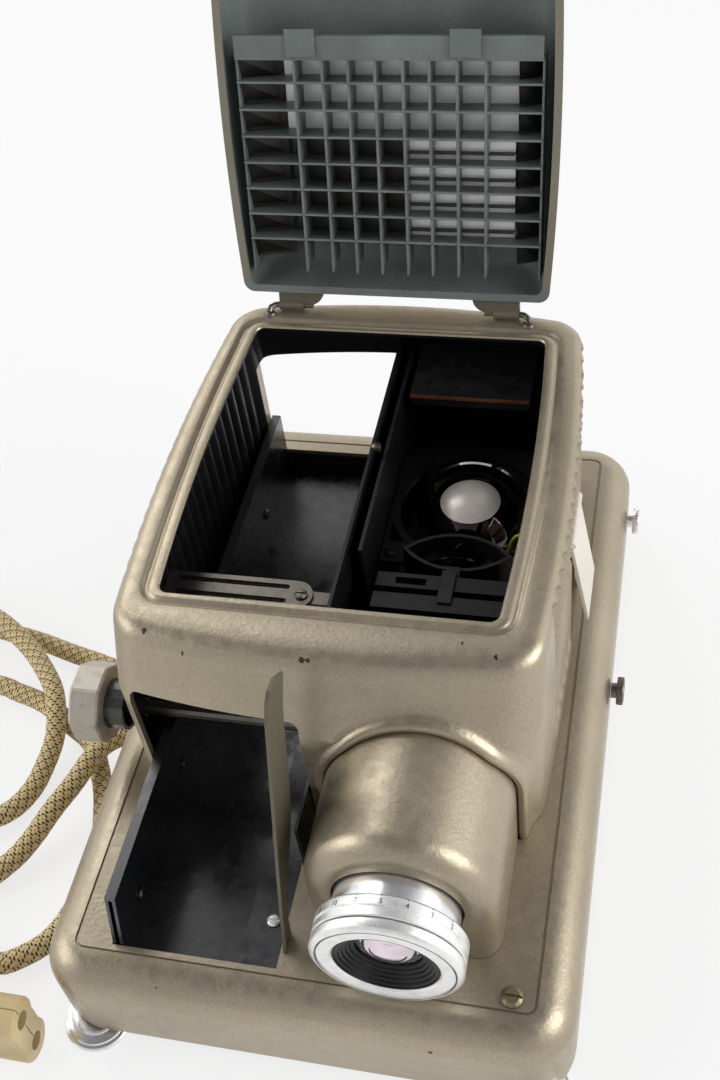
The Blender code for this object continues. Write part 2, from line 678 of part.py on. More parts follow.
def smooth_path(route, count):
    """Evenly spaced points on a smooth curve through the route's own points."""
    points = [Vector(p) for p in route]
    fine = []
    for i in range(len(points) - 1):
        a = points[max(i - 1, 0)]
        b = points[i]
        c = points[i + 1]
        d = points[min(i + 2, len(points) - 1)]
        for k in range(12):
            t = k / 12
            fine.append(0.5 * ((2 * b) + (c - a) * t + (2 * a - 5 * b + 4 * c - d) * t * t
                               + (3 * b - a - 3 * c + d) * t * t * t))
    fine.append(points[-1])
    lengths = [0.0]
    for a, b in zip(fine, fine[1:]):
        lengths.append(lengths[-1] + (b - a).length)
    result = []
    index = 0
    for k in range(count):
        target = lengths[-1] * k / (count - 1)
        while index < len(lengths) - 2 and lengths[index + 1] < target:
            index += 1
        span = lengths[index + 1] - lengths[index]
        share = (target - lengths[index]) / span
        result.append(fine[index].lerp(fine[index + 1], min(max(share, 0), 1)))
    return result, lengths[-1]


def build_base():
    """Cast base with its groove and track opening, bottom plate and feet."""
    steps = 5
    rings = [plan_ring(BASE_HALF_X, -BASE_HALF_Y, BASE_HALF_Y, BASE_CORNER, SKIRT_BOTTOM, runs=1)]
    for k in range(steps + 1):
        angle = math.pi / 2 * k / steps
        inset = BASE_ROLL * (1 - math.cos(angle))
        rings.append(plan_ring(BASE_HALF_X - inset, inset - BASE_HALF_Y, BASE_HALF_Y - inset, BASE_CORNER - inset,
                               BASE_TOP - BASE_ROLL * (1 - math.sin(angle)), runs=1))
    bm = bmesh.new()
    loft(bm, rings, cap_first=False)
    base = from_bmesh("base_shell", bm, PAINT, smooth=True)
    solid = base.modifiers.new("Wall", 'SOLIDIFY')
    solid.thickness = BASE_WALL
    solid.offset = -1
    solid.use_even_offset = True

    bm = bmesh.new()
    half = GROOVE_WIDTH / 2
    corners = ((1, 1), (-1, 1), (-1, -1), (1, -1))
    sections = ((half, BASE_TOP - GROOVE_DEPTH), (half, BASE_TOP + CUT), (-half, BASE_TOP + CUT),
                (-half, BASE_TOP - GROOVE_DEPTH))
    loft(bm, [[(sx * (GROOVE_HALF_X + out), sy * (GROOVE_HALF_Y + out), z) for sx, sy in corners]
              for out, z in sections], closed=True)
    boolean(base, from_bmesh("groove_cutter", bm, cutter=True))
    low = (TRACK_CUT_X[0], TRACK_CUT_Y[0], TRACK_FLOOR)
    high = (TRACK_CUT_X[1], TRACK_CUT_Y[1], BASE_TOP + CUT)
    boolean(base, box("track_opening_cutter", low, high, cutter=True))

    screw_hole = SMALL_SCREW_RADIUS / 2 + GAP
    boolean(base, cylinder("top_screw_cutter", (TOP_SCREW_X, TOP_SCREW_Y, BASE_TOP - BASE_WALL - CUT), "z", screw_hole,
                           BASE_WALL + 2 * CUT, cutter=True))
    for label, y in (("front", SIDE_SCREW_FRONT_Y), ("rear", SIDE_SCREW_REAR_Y)):
        boolean(base, cylinder("side_screw_cutter_" + label, (BASE_HALF_X - BASE_WALL - CUT, y, SIDE_SCREW_Z), "x",
                               SIDE_SCREW_SHANK_RADIUS + GAP, BASE_WALL + 2 * CUT, cutter=True))
    boolean(base, box("inlet_cutter",
                      (INLET_X - INLET_WIDTH / 2 - GAP, BASE_HALF_Y - BASE_WALL - CUT, INLET_Z - INLET_HEIGHT / 2 - GAP),
                      (INLET_X + INLET_WIDTH / 2 + GAP, BASE_HALF_Y + CUT, INLET_Z + INLET_HEIGHT / 2 + GAP),
                      cutter=True))

    inset = BASE_WALL + GAP
    plate_low = SKIRT_BOTTOM + PLATE_RISE
    bm = bmesh.new()
    loft(bm, [plan_ring(BASE_HALF_X - inset, inset - BASE_HALF_Y, BASE_HALF_Y - inset, BASE_CORNER - inset, z, runs=1)
              for z in (plate_low, plate_low + PLATE_THICKNESS)])
    plate = from_bmesh("base_bottom_plate", bm, STEEL)
    for side, sign in (("left", -1), ("right", 1)):
        boolean(plate, cylinder("foot_hole_cutter_" + side, (sign * FOOT_X, FOOT_Y, plate_low - CUT), "z",
                                FOOT_STEM_RADIUS + GAP, PLATE_THICKNESS + 2 * CUT, cutter=True))
        build_foot(side, sign * FOOT_X)
        cylinder("foot_rear_" + side, (sign * REAR_FOOT_X, REAR_FOOT_Y, 0), "z", REAR_FOOT_RADIUS, plate_low - GAP,
                 RUBBER)
    return base


def build_foot(side, x):
    """Levelling foot: a stem that screws down and a stepped finger wheel on it."""
    height = FOOT_WHEEL_HEIGHT
    radius = FOOT_WHEEL_RADIUS
    bore = FOOT_STEM_RADIUS + GAP
    head = radius / 3
    profile = ((bore, height), (radius * 0.58, height), (radius * 0.62, height * 0.78), (radius * 0.84, height * 0.68),
               (radius * 0.88, height * 0.50), (radius * 0.97, height * 0.44), (radius, height * 0.34),
               (radius, height * 0.08), (radius * 0.96, 0), (head + GAP, 0), (head + GAP, height / 4 + GAP),
               (bore, height / 4 + GAP))
    wheel = turned("foot_front_%s_wheel" % side, profile, (x, FOOT_Y, 0), "z", CHROME, facets=16)
    stem_profile = ((0, FOOT_STEM_TOP), (FOOT_STEM_RADIUS, FOOT_STEM_TOP), (FOOT_STEM_RADIUS, height / 4),
                    (head, height / 4), (head, 0), (0, 0))
    stem = turned("foot_front_%s_stem" % side, stem_profile, (x, FOOT_Y, 0), "z", STEEL, facets=SMALL_ROUND)
    hang(wheel, stem)


def slotted_screw(name, place, axis, radius, head, shank_radius, shank, look):
    """Round-headed screw with a slot; place is where the head sits, axis points out of the head."""
    profile = ((0, head), (radius * 0.7, head * 0.9), (radius, head * 0.35), (radius, 0), (shank_radius, 0),
               (shank_radius, -shank), (0, -shank))
    screw = turned(name, profile, place, axis, look, facets=SMALL_ROUND)
    slot = box(name + "_slot", (-radius - CUT, -radius * 0.12, head * 0.45), (radius + CUT, radius * 0.12, head + CUT),
               cutter=True)
    slot.matrix_world = screw.matrix_world.copy()
    boolean(screw, slot)
    return screw


def build_base_details():
    """Top screw, thumbscrews and mains inlet."""
    slotted_screw("base_top_screw", (TOP_SCREW_X, TOP_SCREW_Y, BASE_TOP + GAP), "z", SMALL_SCREW_RADIUS * 1.6,
                  SMALL_SCREW_HEAD * 1.5, SMALL_SCREW_RADIUS / 2, SMALL_SCREW_LENGTH * 2, SATIN)
    for label, y, look in (("front", SIDE_SCREW_FRONT_Y, GUNMETAL), ("rear", SIDE_SCREW_REAR_Y, SATIN)):
        seat = BASE_HALF_X + GAP
        out = SIDE_SCREW_NECK + SIDE_SCREW_HEAD
        profile = ((0, out), (SIDE_SCREW_RADIUS * 0.92, out), (SIDE_SCREW_RADIUS, out - SIDE_SCREW_HEAD * 0.2),
                   (SIDE_SCREW_RADIUS, SIDE_SCREW_NECK), (SIDE_SCREW_NECK_RADIUS, SIDE_SCREW_NECK),
                   (SIDE_SCREW_NECK_RADIUS, 0), (SIDE_SCREW_SHANK_RADIUS, 0), (SIDE_SCREW_SHANK_RADIUS, -SIDE_SCREW_SHANK),
                   (0, -SIDE_SCREW_SHANK))
        turned("side_thumbscrew_" + label, profile, (seat, y, SIDE_SCREW_Z), "x", look, facets=16)

    outer = BASE_HALF_Y + GAP
    bm = bmesh.new()
    add_box(bm, (INLET_X - INLET_WIDTH / 2, BASE_HALF_Y - INLET_DEPTH, INLET_Z - INLET_HEIGHT / 2),
            (INLET_X + INLET_WIDTH / 2, outer + INLET_FLANGE_THICKNESS / 2, INLET_Z + INLET_HEIGHT / 2))
    body = from_bmesh("inlet_body", bm, BAKELITE)
    flange = box("inlet_flange_join",
                 (INLET_X - INLET_WIDTH / 2 - INLET_FLANGE, outer, INLET_Z - INLET_HEIGHT / 2 - INLET_FLANGE),
                 (INLET_X + INLET_WIDTH / 2 + INLET_FLANGE, outer + INLET_FLANGE_THICKNESS,
                  INLET_Z + INLET_HEIGHT / 2 + INLET_FLANGE), cutter=True)
    boolean(body, flange, 'UNION')
    floor = BASE_HALF_Y - INLET_DEPTH + INLET_FLOOR
    boolean(body, box("inlet_recess_cutter",
                      (INLET_X - INLET_WIDTH / 2 + INLET_WALL, floor, INLET_Z - INLET_HEIGHT / 2 + INLET_WALL),
                      (INLET_X + INLET_WIDTH / 2 - INLET_WALL, outer + INLET_FLANGE_THICKNESS + CUT,
                       INLET_Z + INLET_HEIGHT / 2 - INLET_WALL), cutter=True))
    for side, sign in (("left", -1), ("right", 1)):
        x = INLET_X + sign * PIN_SPACING / 2
        boolean(body, cylinder("inlet_pin_join_" + side, (x, floor - PIN_RADIUS, INLET_Z), "y", PIN_RADIUS,
                               PIN_LENGTH + PIN_RADIUS, cutter=True), 'UNION')


def build_track():
    """Folded sheet track in the opening of the base, with its rail, screws and guide blade."""
    left = TRACK_CUT_X[0] + GAP
    right = TRACK_CUT_X[1] - GAP
    front = TRACK_CUT_Y[0] + GAP
    rear = TRACK_CUT_Y[1] - GAP
    sheet = TRACK_SHEET
    wall = TRACK_WALL_X
    floor = TRACK_FLOOR
    section = [(left, BASE_TOP + GAP), (left, TRACK_WALL_TOP), (wall, TRACK_WALL_TOP), (wall, floor + sheet),
               (TRACK_FLOOR_RIGHT - sheet, floor + sheet), (TRACK_FLOOR_RIGHT - sheet, TRACK_SHELF_Z),
               (right, TRACK_SHELF_Z), (right, TRACK_SHELF_Z - sheet), (TRACK_FLOOR_RIGHT, TRACK_SHELF_Z - sheet),
               (TRACK_FLOOR_RIGHT, floor), (wall - sheet, floor), (wall - sheet, TRACK_WALL_TOP - sheet),
               (left + sheet, TRACK_WALL_TOP - sheet), (left + sheet, BASE_TOP + GAP)]
    track = flat_shape("track", section, rear - front, "xz", (rear + front) / 2, BLACK)
    lean = TRACK_WALL_LEAN
    bm = bmesh.new()
    top = TRACK_WALL_TOP + CUT
    outline = ((front - CUT, floor + sheet), (front, floor + sheet), (front, BASE_TOP), (front + lean, TRACK_WALL_TOP),
               (front + lean, top), (front - CUT, top))
    loft(bm, [[(x, y, z) for y, z in outline] for x in (left - CUT, wall + CUT)])
    boolean(track, from_bmesh("track_lean_cutter", bm, cutter=True))
    for index, y in enumerate(WALL_SCREW_YS):
        place = (wall + GAP, y, BASE_TOP)
        slotted_screw("track_wall_screw_%d" % (index + 1), place, "x", SMALL_SCREW_RADIUS, SMALL_SCREW_HEAD,
                      SMALL_SCREW_RADIUS / 2, sheet + GAP + SMALL_SCREW_HEAD / 2, STEEL)
        boolean(track, cylinder("wall_screw_cutter_%d" % (index + 1), (wall - sheet - CUT / 2, y, BASE_TOP), "x",
                                SMALL_SCREW_RADIUS / 2 + GAP, sheet + CUT, cutter=True))
    slotted_screw("shelf_screw", (SHELF_SCREW_X, SHELF_SCREW_Y, TRACK_SHELF_Z + GAP), "z", SMALL_SCREW_RADIUS,
                  SMALL_SCREW_HEAD, SMALL_SCREW_RADIUS / 2, SMALL_SCREW_LENGTH, SATIN)
    boolean(track, cylinder("shelf_screw_cutter", (SHELF_SCREW_X, SHELF_SCREW_Y, TRACK_SHELF_Z - sheet - CUT), "z",
                            SMALL_SCREW_RADIUS / 2 + GAP, sheet + 2 * CUT, cutter=True))

    rail_low = BASE_TOP + GAP
    rail = box("track_right_rail", (TRACK_RAIL_X, TRACK_RAIL_FRONT, rail_low),
               (TRACK_RAIL_X + TRACK_RAIL_THICKNESS, HOUSING_REAR - TRACK_RAIL_REAR_INSET, rail_low + TRACK_RAIL_HEIGHT),
               BLACK)
    boolean(rail, box("rail_slot_cutter", (TRACK_RAIL_X - CUT, CHANGER_Y - GUIDE_SLOT_OFFSET, rail_low + DIVIDER_SLOT_TRIM),
                      (TRACK_RAIL_X + CUT, CHANGER_Y + GUIDE_SLOT_OFFSET, rail_low + TRACK_RAIL_HEIGHT + CUT),
                      cutter=True))

    foot = BASE_TOP + GAP
    depth = BLADE_DEPTH
    height = BLADE_HEIGHT
    outline = [(BLADE_FOOT_FRONT + u * depth, foot + v * height) for u, v in BLADE_FRONT_shares + BLADE_REAR_shares]
    flat_shape("guide_blade", outline, BLADE_THICKNESS, "yz", TRACK_RAIL_X + TRACK_RAIL_THICKNESS / 2, PAINT)
    return track


def housing_rings(grow=0.0, top=True):
    """Rings of the housing's outer skin, grown outwards by a clearance if asked."""
    rows = [(HOUSING_HALF_X, HOUSING_FRONT, HOUSING_REAR, HOUSING_CORNER, BASE_TOP + GAP),
            (HOUSING_HALF_X, HOUSING_FRONT, HOUSING_REAR, HOUSING_CORNER, HOUSING_TOP - ROLL_DROP)]
    for inset_x, inset_front, inset_rear, drop in ROLL_shares:
        soften = 1 - inset_x / 2
        rows.append((HOUSING_HALF_X - ROLL_INSET_X * inset_x, HOUSING_FRONT + ROLL_INSET_FRONT * inset_front,
                     HOUSING_REAR - ROLL_INSET_REAR * inset_rear, HOUSING_CORNER * soften,
                     HOUSING_TOP - ROLL_DROP * drop))
    rings = []
    for half_x, front, rear, corner, z in rows:
        rings.append(plan_ring(half_x + grow, front - grow, rear + grow, corner + grow, z, HOUSING_BOW_X_share,
                               HOUSING_BOW_Y_share, HOUSING_TAPER_share))
    return rings


def build_housing():
    """Cast housing over the base: an open skin with a wall, cut for tunnel, light, rod and vent."""
    rings = housing_rings()
    rings.append(plan_ring(RIM_HALF_X, RIM_FRONT, RIM_REAR, RIM_CORNER, HOUSING_TOP, RIM_BOW_share, 0.0, 0.0, RIM_X))
    bm = bmesh.new()
    loft(bm, rings, cap_first=False, cap_last=False)
    housing = from_bmesh("housing_shell", bm, PAINT, smooth=True)
    solid = housing.modifiers.new("Wall", 'SOLIDIFY')
    solid.thickness = HOUSING_WALL
    solid.offset = -1
    solid.use_even_offset = True

    half = RIM_GROOVE_WIDTH / 2
    bm = bmesh.new()
    sections = ((half, HOUSING_TOP - RIM_GROOVE_DEPTH), (half, HOUSING_TOP + CUT), (-half, HOUSING_TOP + CUT),
                (-half, HOUSING_TOP - RIM_GROOVE_DEPTH))
    loft(bm, [plan_ring(RIM_HALF_X + RIM_GROOVE_INSET + out, RIM_FRONT - RIM_GROOVE_FRONT_INSET - out,
                        RIM_REAR + RIM_GROOVE_FRONT_INSET + out, RIM_CORNER + RIM_GROOVE_INSET + out, z, RIM_BOW_share,
                        0.0, 0.0, RIM_X) for out, z in sections], closed=True)
    boolean(housing, from_bmesh("rim_groove_cutter", bm, cutter=True))

    deep = ROLL_INSET_FRONT
    build_bead(housing)
    boolean(housing, box("tunnel_front_cutter", (TUNNEL_X[0], HOUSING_FRONT - CUT, BASE_TOP - CUT),
                         (TUNNEL_X[1], HOUSING_FRONT + deep, TUNNEL_TOP), cutter=True))
    boolean(housing, box("tunnel_rear_cutter", (TUNNEL_X[0], HOUSING_REAR - deep, BASE_TOP - CUT),
                         (TUNNEL_X[1], HOUSING_REAR + CUT, TUNNEL_REAR_TOP), cutter=True))
    boolean(housing, cylinder("light_hole_cutter", (AXIS_X, HOUSING_FRONT - CUT, AXIS_Z), "y", LIGHT_HOLE_RADIUS,
                              deep / 2, cutter=True, facets=ROUND))
    boolean(housing, cylinder("rod_hole_cutter", (-HOUSING_HALF_X - CUT, ROD_Y, ROD_Z), "x", ROD_RADIUS + ROD_HOLE_MARGIN,
                              ROLL_INSET_X * 2, cutter=True))
    boolean(housing, box("vent_cutter", (HOUSING_HALF_X - ROLL_INSET_X / 2, VENT_Y[0], VENT_Z[0]),
                         (HOUSING_HALF_X + CUT, VENT_Y[1], VENT_Z[1]), cutter=True))
    return housing


def build_bead(housing):
    """Raised bead of the housing that runs round the foot of the lens shroud."""
    low = BASE_TOP + GAP
    front = HOUSING_FRONT - BEAD_LENGTH
    back = HOUSING_FRONT + HOUSING_WALL / 2
    bm = bmesh.new()
    loft(bm, [arch_points(BEAD_RADIUS - BEAD_ROUND, front, low), arch_points(BEAD_RADIUS, front + BEAD_ROUND, low),
              arch_points(BEAD_RADIUS, back, low)])
    bead = from_bmesh("bead_join", bm, cutter=True, smooth=True)
    bm = bmesh.new()
    loft(bm, [arch_points(SHROUD_RADIUS + GAP, front - CUT, low - CUT),
              arch_points(SHROUD_RADIUS + GAP, back + CUT, low - CUT)])
    boolean(bead, from_bmesh("bead_bore_cutter", bm, cutter=True))
    boolean(housing, bead, 'UNION')


def build_inner_walls():
    """Divider beside the slide channel and the second sheet beside it."""
    low = BASE_TOP + GAP
    front = HOUSING_FRONT + HOUSING_WALL * 2
    rear = HOUSING_REAR - HOUSING_WALL * 2
    outline = ((front, low), (rear, low), (rear, DIVIDER_TOP), (front + DIVIDER_SLOPE, DIVIDER_TOP),
               (front, DIVIDER_TOP - DIVIDER_SLOPE))
    divider = flat_shape("divider", outline, DIVIDER_THICKNESS, "yz", DIVIDER_X + DIVIDER_THICKNESS / 2, INNER)
    slot_half = GUIDE_SLOT_OFFSET
    boolean(divider, box("divider_slot_cutter", (DIVIDER_X - CUT, CHANGER_Y - slot_half, low + DIVIDER_SLOT_TRIM),
                         (DIVIDER_X + DIVIDER_THICKNESS + CUT, CHANGER_Y + slot_half, low + DIVIDER_SLOT_HEIGHT),
                         cutter=True))
    sheet_rear = HOUSING_REAR - HOUSING_WALL * 2
    box("lamp_house_sheet", (SECOND_SHEET_X, GATE_Y[1] + GAP, low),
        (SECOND_SHEET_X + DIVIDER_THICKNESS, sheet_rear, SECOND_SHEET_TOP), INNER)


def build_changer():
    """Fixed guide plate over the slide channel, and the slider that the knob pulls out."""
    y0, y1 = GUIDE_Y
    x0, x1 = GUIDE_X
    round_end = (y1 - y0) / 2
    centre = (x1 - round_end, (y0 + y1) / 2)
    outline = [(x0, y0)] + arc(centre, round_end, -math.pi / 2, math.pi / 2, 8) + [(x0, y1)]
    holes = []
    slot_x0 = x0 + GUIDE_LIP / 2
    for sign in (-1, 1):
        middle = CHANGER_Y + sign * GUIDE_SLOT_OFFSET
        half = GUIDE_SLOT_WIDTH / 2
        slot = arc((slot_x0 + GUIDE_SLOT_LENGTH - half, middle), half, math.pi / 2, -math.pi / 2, 4)
        slot += arc((slot_x0 + half, middle), half, -math.pi / 2, -math.pi * 1.5, 4)
        holes.append(slot)
    plate = flat_shape("changer_guide_plate", outline, GUIDE_THICKNESS, "xy", GUIDE_Z - GUIDE_THICKNESS / 2, SATIN,
                       holes=holes)
    lip = box("guide_lip_join", (x0, y0, GUIDE_Z - GUIDE_LIP), (x0 + GUIDE_THICKNESS, y1, GUIDE_Z - GUIDE_THICKNESS / 2),
              cutter=True)
    boolean(plate, lip, 'UNION')
    bracket = box("guide_bracket_join", (x1 - GUIDE_LIP, centre[1] - GUIDE_LIP / 2, GUIDE_Z - GUIDE_LIP),
                  (DIVIDER_X - GAP, centre[1] + GUIDE_LIP / 2, GUIDE_Z - GUIDE_THICKNESS / 2), cutter=True)
    boolean(plate, bracket, 'UNION')
    slotted_screw("changer_guide_screw", (x1 - GUIDE_SCREW_INSET, centre[1], GUIDE_Z + GAP), "z", SMALL_SCREW_RADIUS,
                  SMALL_SCREW_HEAD, SMALL_SCREW_RADIUS / 2, GUIDE_THICKNESS, STEEL)
    boolean(plate, cylinder("guide_screw_cutter", (x1 - GUIDE_SCREW_INSET, centre[1], GUIDE_Z - GUIDE_THICKNESS * 1.5), "z",
                            SMALL_SCREW_RADIUS / 2 + GAP, GUIDE_THICKNESS * 2, cutter=True))

    knob_inner = KNOB_FACE_X + KNOB_LENGTH
    start = knob_inner + GAP
    slider = cylinder("changer_slider", (start, ROD_Y, ROD_Z), "x", ROD_RADIUS, ROD_END_X - start, STEEL)
    half = PUSHER_HEIGHT / 2
    finger_half = FINGER_THICKNESS / 2
    pusher = box("pusher_join", (ROD_END_X - PUSHER_THICKNESS, ROD_Y - PUSHER_MARGIN, ROD_Z - half),
                 (ROD_END_X, CHANGER_Y + finger_half, ROD_Z + half), cutter=True)
    boolean(slider, pusher, 'UNION')
    finger = box("finger_join", (ROD_END_X - PUSHER_THICKNESS / 2, CHANGER_Y - finger_half, ROD_Z - half / 2),
                 (GATE_X[0] + FINGER_REACH, CHANGER_Y + finger_half, ROD_Z + half - finger_half), cutter=True)
    boolean(slider, finger, 'UNION')
    collar_start = knob_inner + GAP
    collar = turned("changer_collar", ring_profile(COLLAR_RADIUS, COLLAR_RADIUS - COLLAR_WALL, 0, COLLAR_LENGTH),
                    (collar_start, ROD_Y, ROD_Z), "x", BLACK, facets=16)
    web = turned("collar_web_join", ring_profile(COLLAR_RADIUS - COLLAR_WALL / 2, ROD_RADIUS + GAP, 0, COLLAR_WALL),
                 (collar_start, ROD_Y, ROD_Z), "x", cutter=True, facets=16)
    boolean(collar, web, 'UNION')
    knob = cylinder("changer_knob", (KNOB_FACE_X, ROD_Y, ROD_Z), "x", KNOB_ACROSS / 2 / math.cos(math.pi / 8), KNOB_LENGTH,
                    GUNMETAL, facets=8, turn=math.pi / 8)
    bevel(knob, KNOB_BEVEL)
    hang(collar, slider)
    hang(knob, slider)


def arch_points(radius, y, low, count=16):
    """Outline of an arch round the optical axis, standing on a level."""
    points = [(AXIS_X + radius * math.cos(math.pi * k / count), y, AXIS_Z + radius * math.sin(math.pi * k / count))
              for k in range(count + 1)]
    return [(AXIS_X + radius, y, low)] + points + [(AXIS_X - radius, y, low)]


def build_shroud():
    """Arched shroud in front of the housing, and the bead that runs round it."""
    low = BASE_TOP + GAP
    back = HOUSING_FRONT + SHROUD_RADIUS
    steps = 4
    rings = [arch_points(SHROUD_RADIUS, back, low)]
    for k in range(steps + 1):
        angle = math.pi / 2 * k / steps
        rings.append(arch_points(SHROUD_RADIUS - SHROUD_ROLL * (1 - math.cos(angle)),
                                 SHROUD_FRONT + SHROUD_ROLL * (1 - math.sin(angle)), low))
    bm = bmesh.new()
    loft(bm, rings)
    shroud = from_bmesh("lens_shroud", bm, PAINT, smooth=True)
    inner = SHROUD_RADIUS - SHROUD_WALL
    bm = bmesh.new()
    loft(bm, [arch_points(inner, back + CUT, low - CUT), arch_points(inner, SHROUD_FRONT + SHROUD_ROLL, low - CUT),
              arch_points(inner - SHROUD_WALL, SHROUD_FRONT + SHROUD_WALL, low - CUT)])
    boolean(shroud, from_bmesh("shroud_hollow_cutter", bm, cutter=True))
    boolean(shroud, cylinder("shroud_bore_cutter", (AXIS_X, SHROUD_FRONT - CUT, AXIS_Z), "y", SHROUD_BORE,
                             SHROUD_WALL + 2 * CUT, cutter=True, facets=ROUND))
    bm = bmesh.new()
    rings = housing_rings(GAP)
    lowest = [(x, y, z - CUT) for x, y, z in rings[0]]
    loft(bm, [lowest] + rings[1:])
    body = from_bmesh("housing_body_cutter", bm, cutter=True)
    boolean(shroud, body)


def build_lens():
    """Sleeve, sliding barrel, focusing ring, front ring, inner cone and two glasses."""
    axis = (AXIS_X, 0, AXIS_Z)
    sleeve_in = BARREL_RADIUS + GAP
    turned("lens_sleeve", ring_profile(sleeve_in + SLEEVE_WALL, sleeve_in, SHROUD_FRONT + SHROUD_WALL + GAP, SLEEVE_REAR),
           axis, "y", BLACK)
    barrel = turned("lens_barrel", ring_profile(BARREL_RADIUS, BARREL_BORE, BARREL_FRONT, BARREL_REAR), axis, "y",
                    CHROME)
    bore = BARREL_RADIUS + GAP
    groove = RING_GROOVE
    low = BARREL_FRONT
    high = BARREL_FRONT + RING_LENGTH
    middle = low + RING_LENGTH * 0.45
    profile = ((bore, high), (RING_RADIUS - groove, high), (RING_RADIUS, high - groove), (RING_RADIUS, middle + groove),
               (RING_RADIUS - groove, middle), (RING_RADIUS, middle - groove), (RING_RADIUS, low), (bore, low))
    ring = turned("lens_focus_ring", profile, axis, "y", SATIN)
    high = BARREL_FRONT - GAP
    low = high - FRONT_RING_LENGTH
    profile = ((FRONT_RING_BORE, high), (RING_RADIUS - groove, high), (RING_RADIUS, high - groove),
               (RING_RADIUS, low + groove * 3), (RING_RADIUS - groove, low + groove), (FRONT_RING_FACE, low),
               (FRONT_RING_BORE + groove, low), (FRONT_RING_BORE, low + groove))
    front = turned("lens_front_ring", profile, axis, "y", SATIN)
    mouth = low + groove
    profile = [(CONE_MOUTH - CONE_STEP * CONE_STEPS, mouth + CONE_LENGTH), (CONE_RADIUS, mouth + CONE_LENGTH),
               (CONE_RADIUS, mouth)]
    step = CONE_LENGTH / CONE_STEPS
    for k in range(CONE_STEPS):
        radius = CONE_MOUTH - CONE_STEP * k
        profile.append((radius, mouth + step * k))
        profile.append((radius, mouth + step * (k + 1)))
    cone = turned("lens_inner_cone", profile, axis, "y", BLACK, facets=20)
    pieces = [ring, front, cone]
    places = (("lens_front_glass", mouth + CONE_LENGTH + GAP + GLASS_EDGE / 2, FRONT_GLASS_BULGE),
              ("lens_rear_glass", BARREL_REAR - GLASS_EDGE * 2, REAR_GLASS_BULGE))
    for name, y, bulge in places:
        pieces.append(biconvex(name, (AXIS_X, y, AXIS_Z), GLASS_RADIUS, GLASS_EDGE, bulge))
    for piece in pieces:
        hang(piece, barrel)


def biconvex(name, centre, radius, edge, bulge, front_flat=True):
    """A glass with a straight edge and bulging faces; it stands square to the Y axis."""
    curve = (radius * radius + bulge * bulge) / (2 * bulge)
    half = math.asin(radius / curve)
    steps = 3
    upper = [(curve * math.sin(half * k / steps), edge / 2 + curve * math.cos(half * k / steps) - curve + bulge)
             for k in range(steps + 1)]
    if front_flat:
        profile = [(0, upper[0][1])] + upper[1:] + [(radius, -edge / 2), (0, -edge / 2)]
    else:
        profile = [(0, upper[0][1])] + upper[1:] + [(r, -z) for r, z in reversed(upper[1:])] + [(0, -upper[0][1])]
    return turned(name, profile, centre, "y", GLASS)


def build_gate():
    """Slide gate in front of the condenser."""
    low = BASE_TOP + GAP
    gate = box("gate_frame", (GATE_X[0], GATE_Y[0], low), (GATE_X[1], GATE_Y[1], GATE_TOP), INNER)
    half = GATE_APERTURE / 2
    boolean(gate, box("gate_aperture_cutter", (AXIS_X - half, GATE_Y[0] - CUT, AXIS_Z - half),
                      (AXIS_X + half, GATE_Y[1] + CUT, AXIS_Z + half), cutter=True))
    sill = AXIS_Z - half - GATE_CHANNEL_DEPTH
    boolean(gate, box("gate_slot_cutter", (GATE_X[0] - CUT, CHANGER_Y - GATE_SLOT_WIDTH / 2, sill),
                      (GATE_X[1] - GATE_CHANNEL_DEPTH, CHANGER_Y + GATE_SLOT_WIDTH / 2, GATE_TOP + CUT), cutter=True))
    boolean(gate, box("gate_channel_cutter", (GATE_X[0] - CUT, GATE_CHANNEL_Y[0], GATE_TOP - GATE_CHANNEL_DEPTH),
                      (GATE_X[1] + CUT, GATE_CHANNEL_Y[1], GATE_TOP + CUT), cutter=True))
    boolean(gate, box("gate_pocket_cutter", (GATE_POCKET_X[0], GATE_POCKET_Y[0], GATE_TOP - GATE_CHANNEL_DEPTH),
                      (GATE_POCKET_X[1], GATE_POCKET_Y[1], GATE_TOP + CUT), cutter=True))


def cat_eye(half_width, half_depth, centre_y, count=8):
    """Pointed oval made of two arcs, seen from above."""
    radius = (half_width * half_width + half_depth * half_depth) / (2 * half_depth)
    half = math.asin(half_width / radius)
    top = [(AXIS_X + radius * math.sin(half - 2 * half * k / count),
            centre_y + radius * math.cos(half - 2 * half * k / count) - radius + half_depth) for k in range(count)]
    bottom = [(AXIS_X - radius * math.sin(half - 2 * half * k / count),
               centre_y - radius * math.cos(half - 2 * half * k / count) + radius - half_depth) for k in range(count)]
    return top + bottom


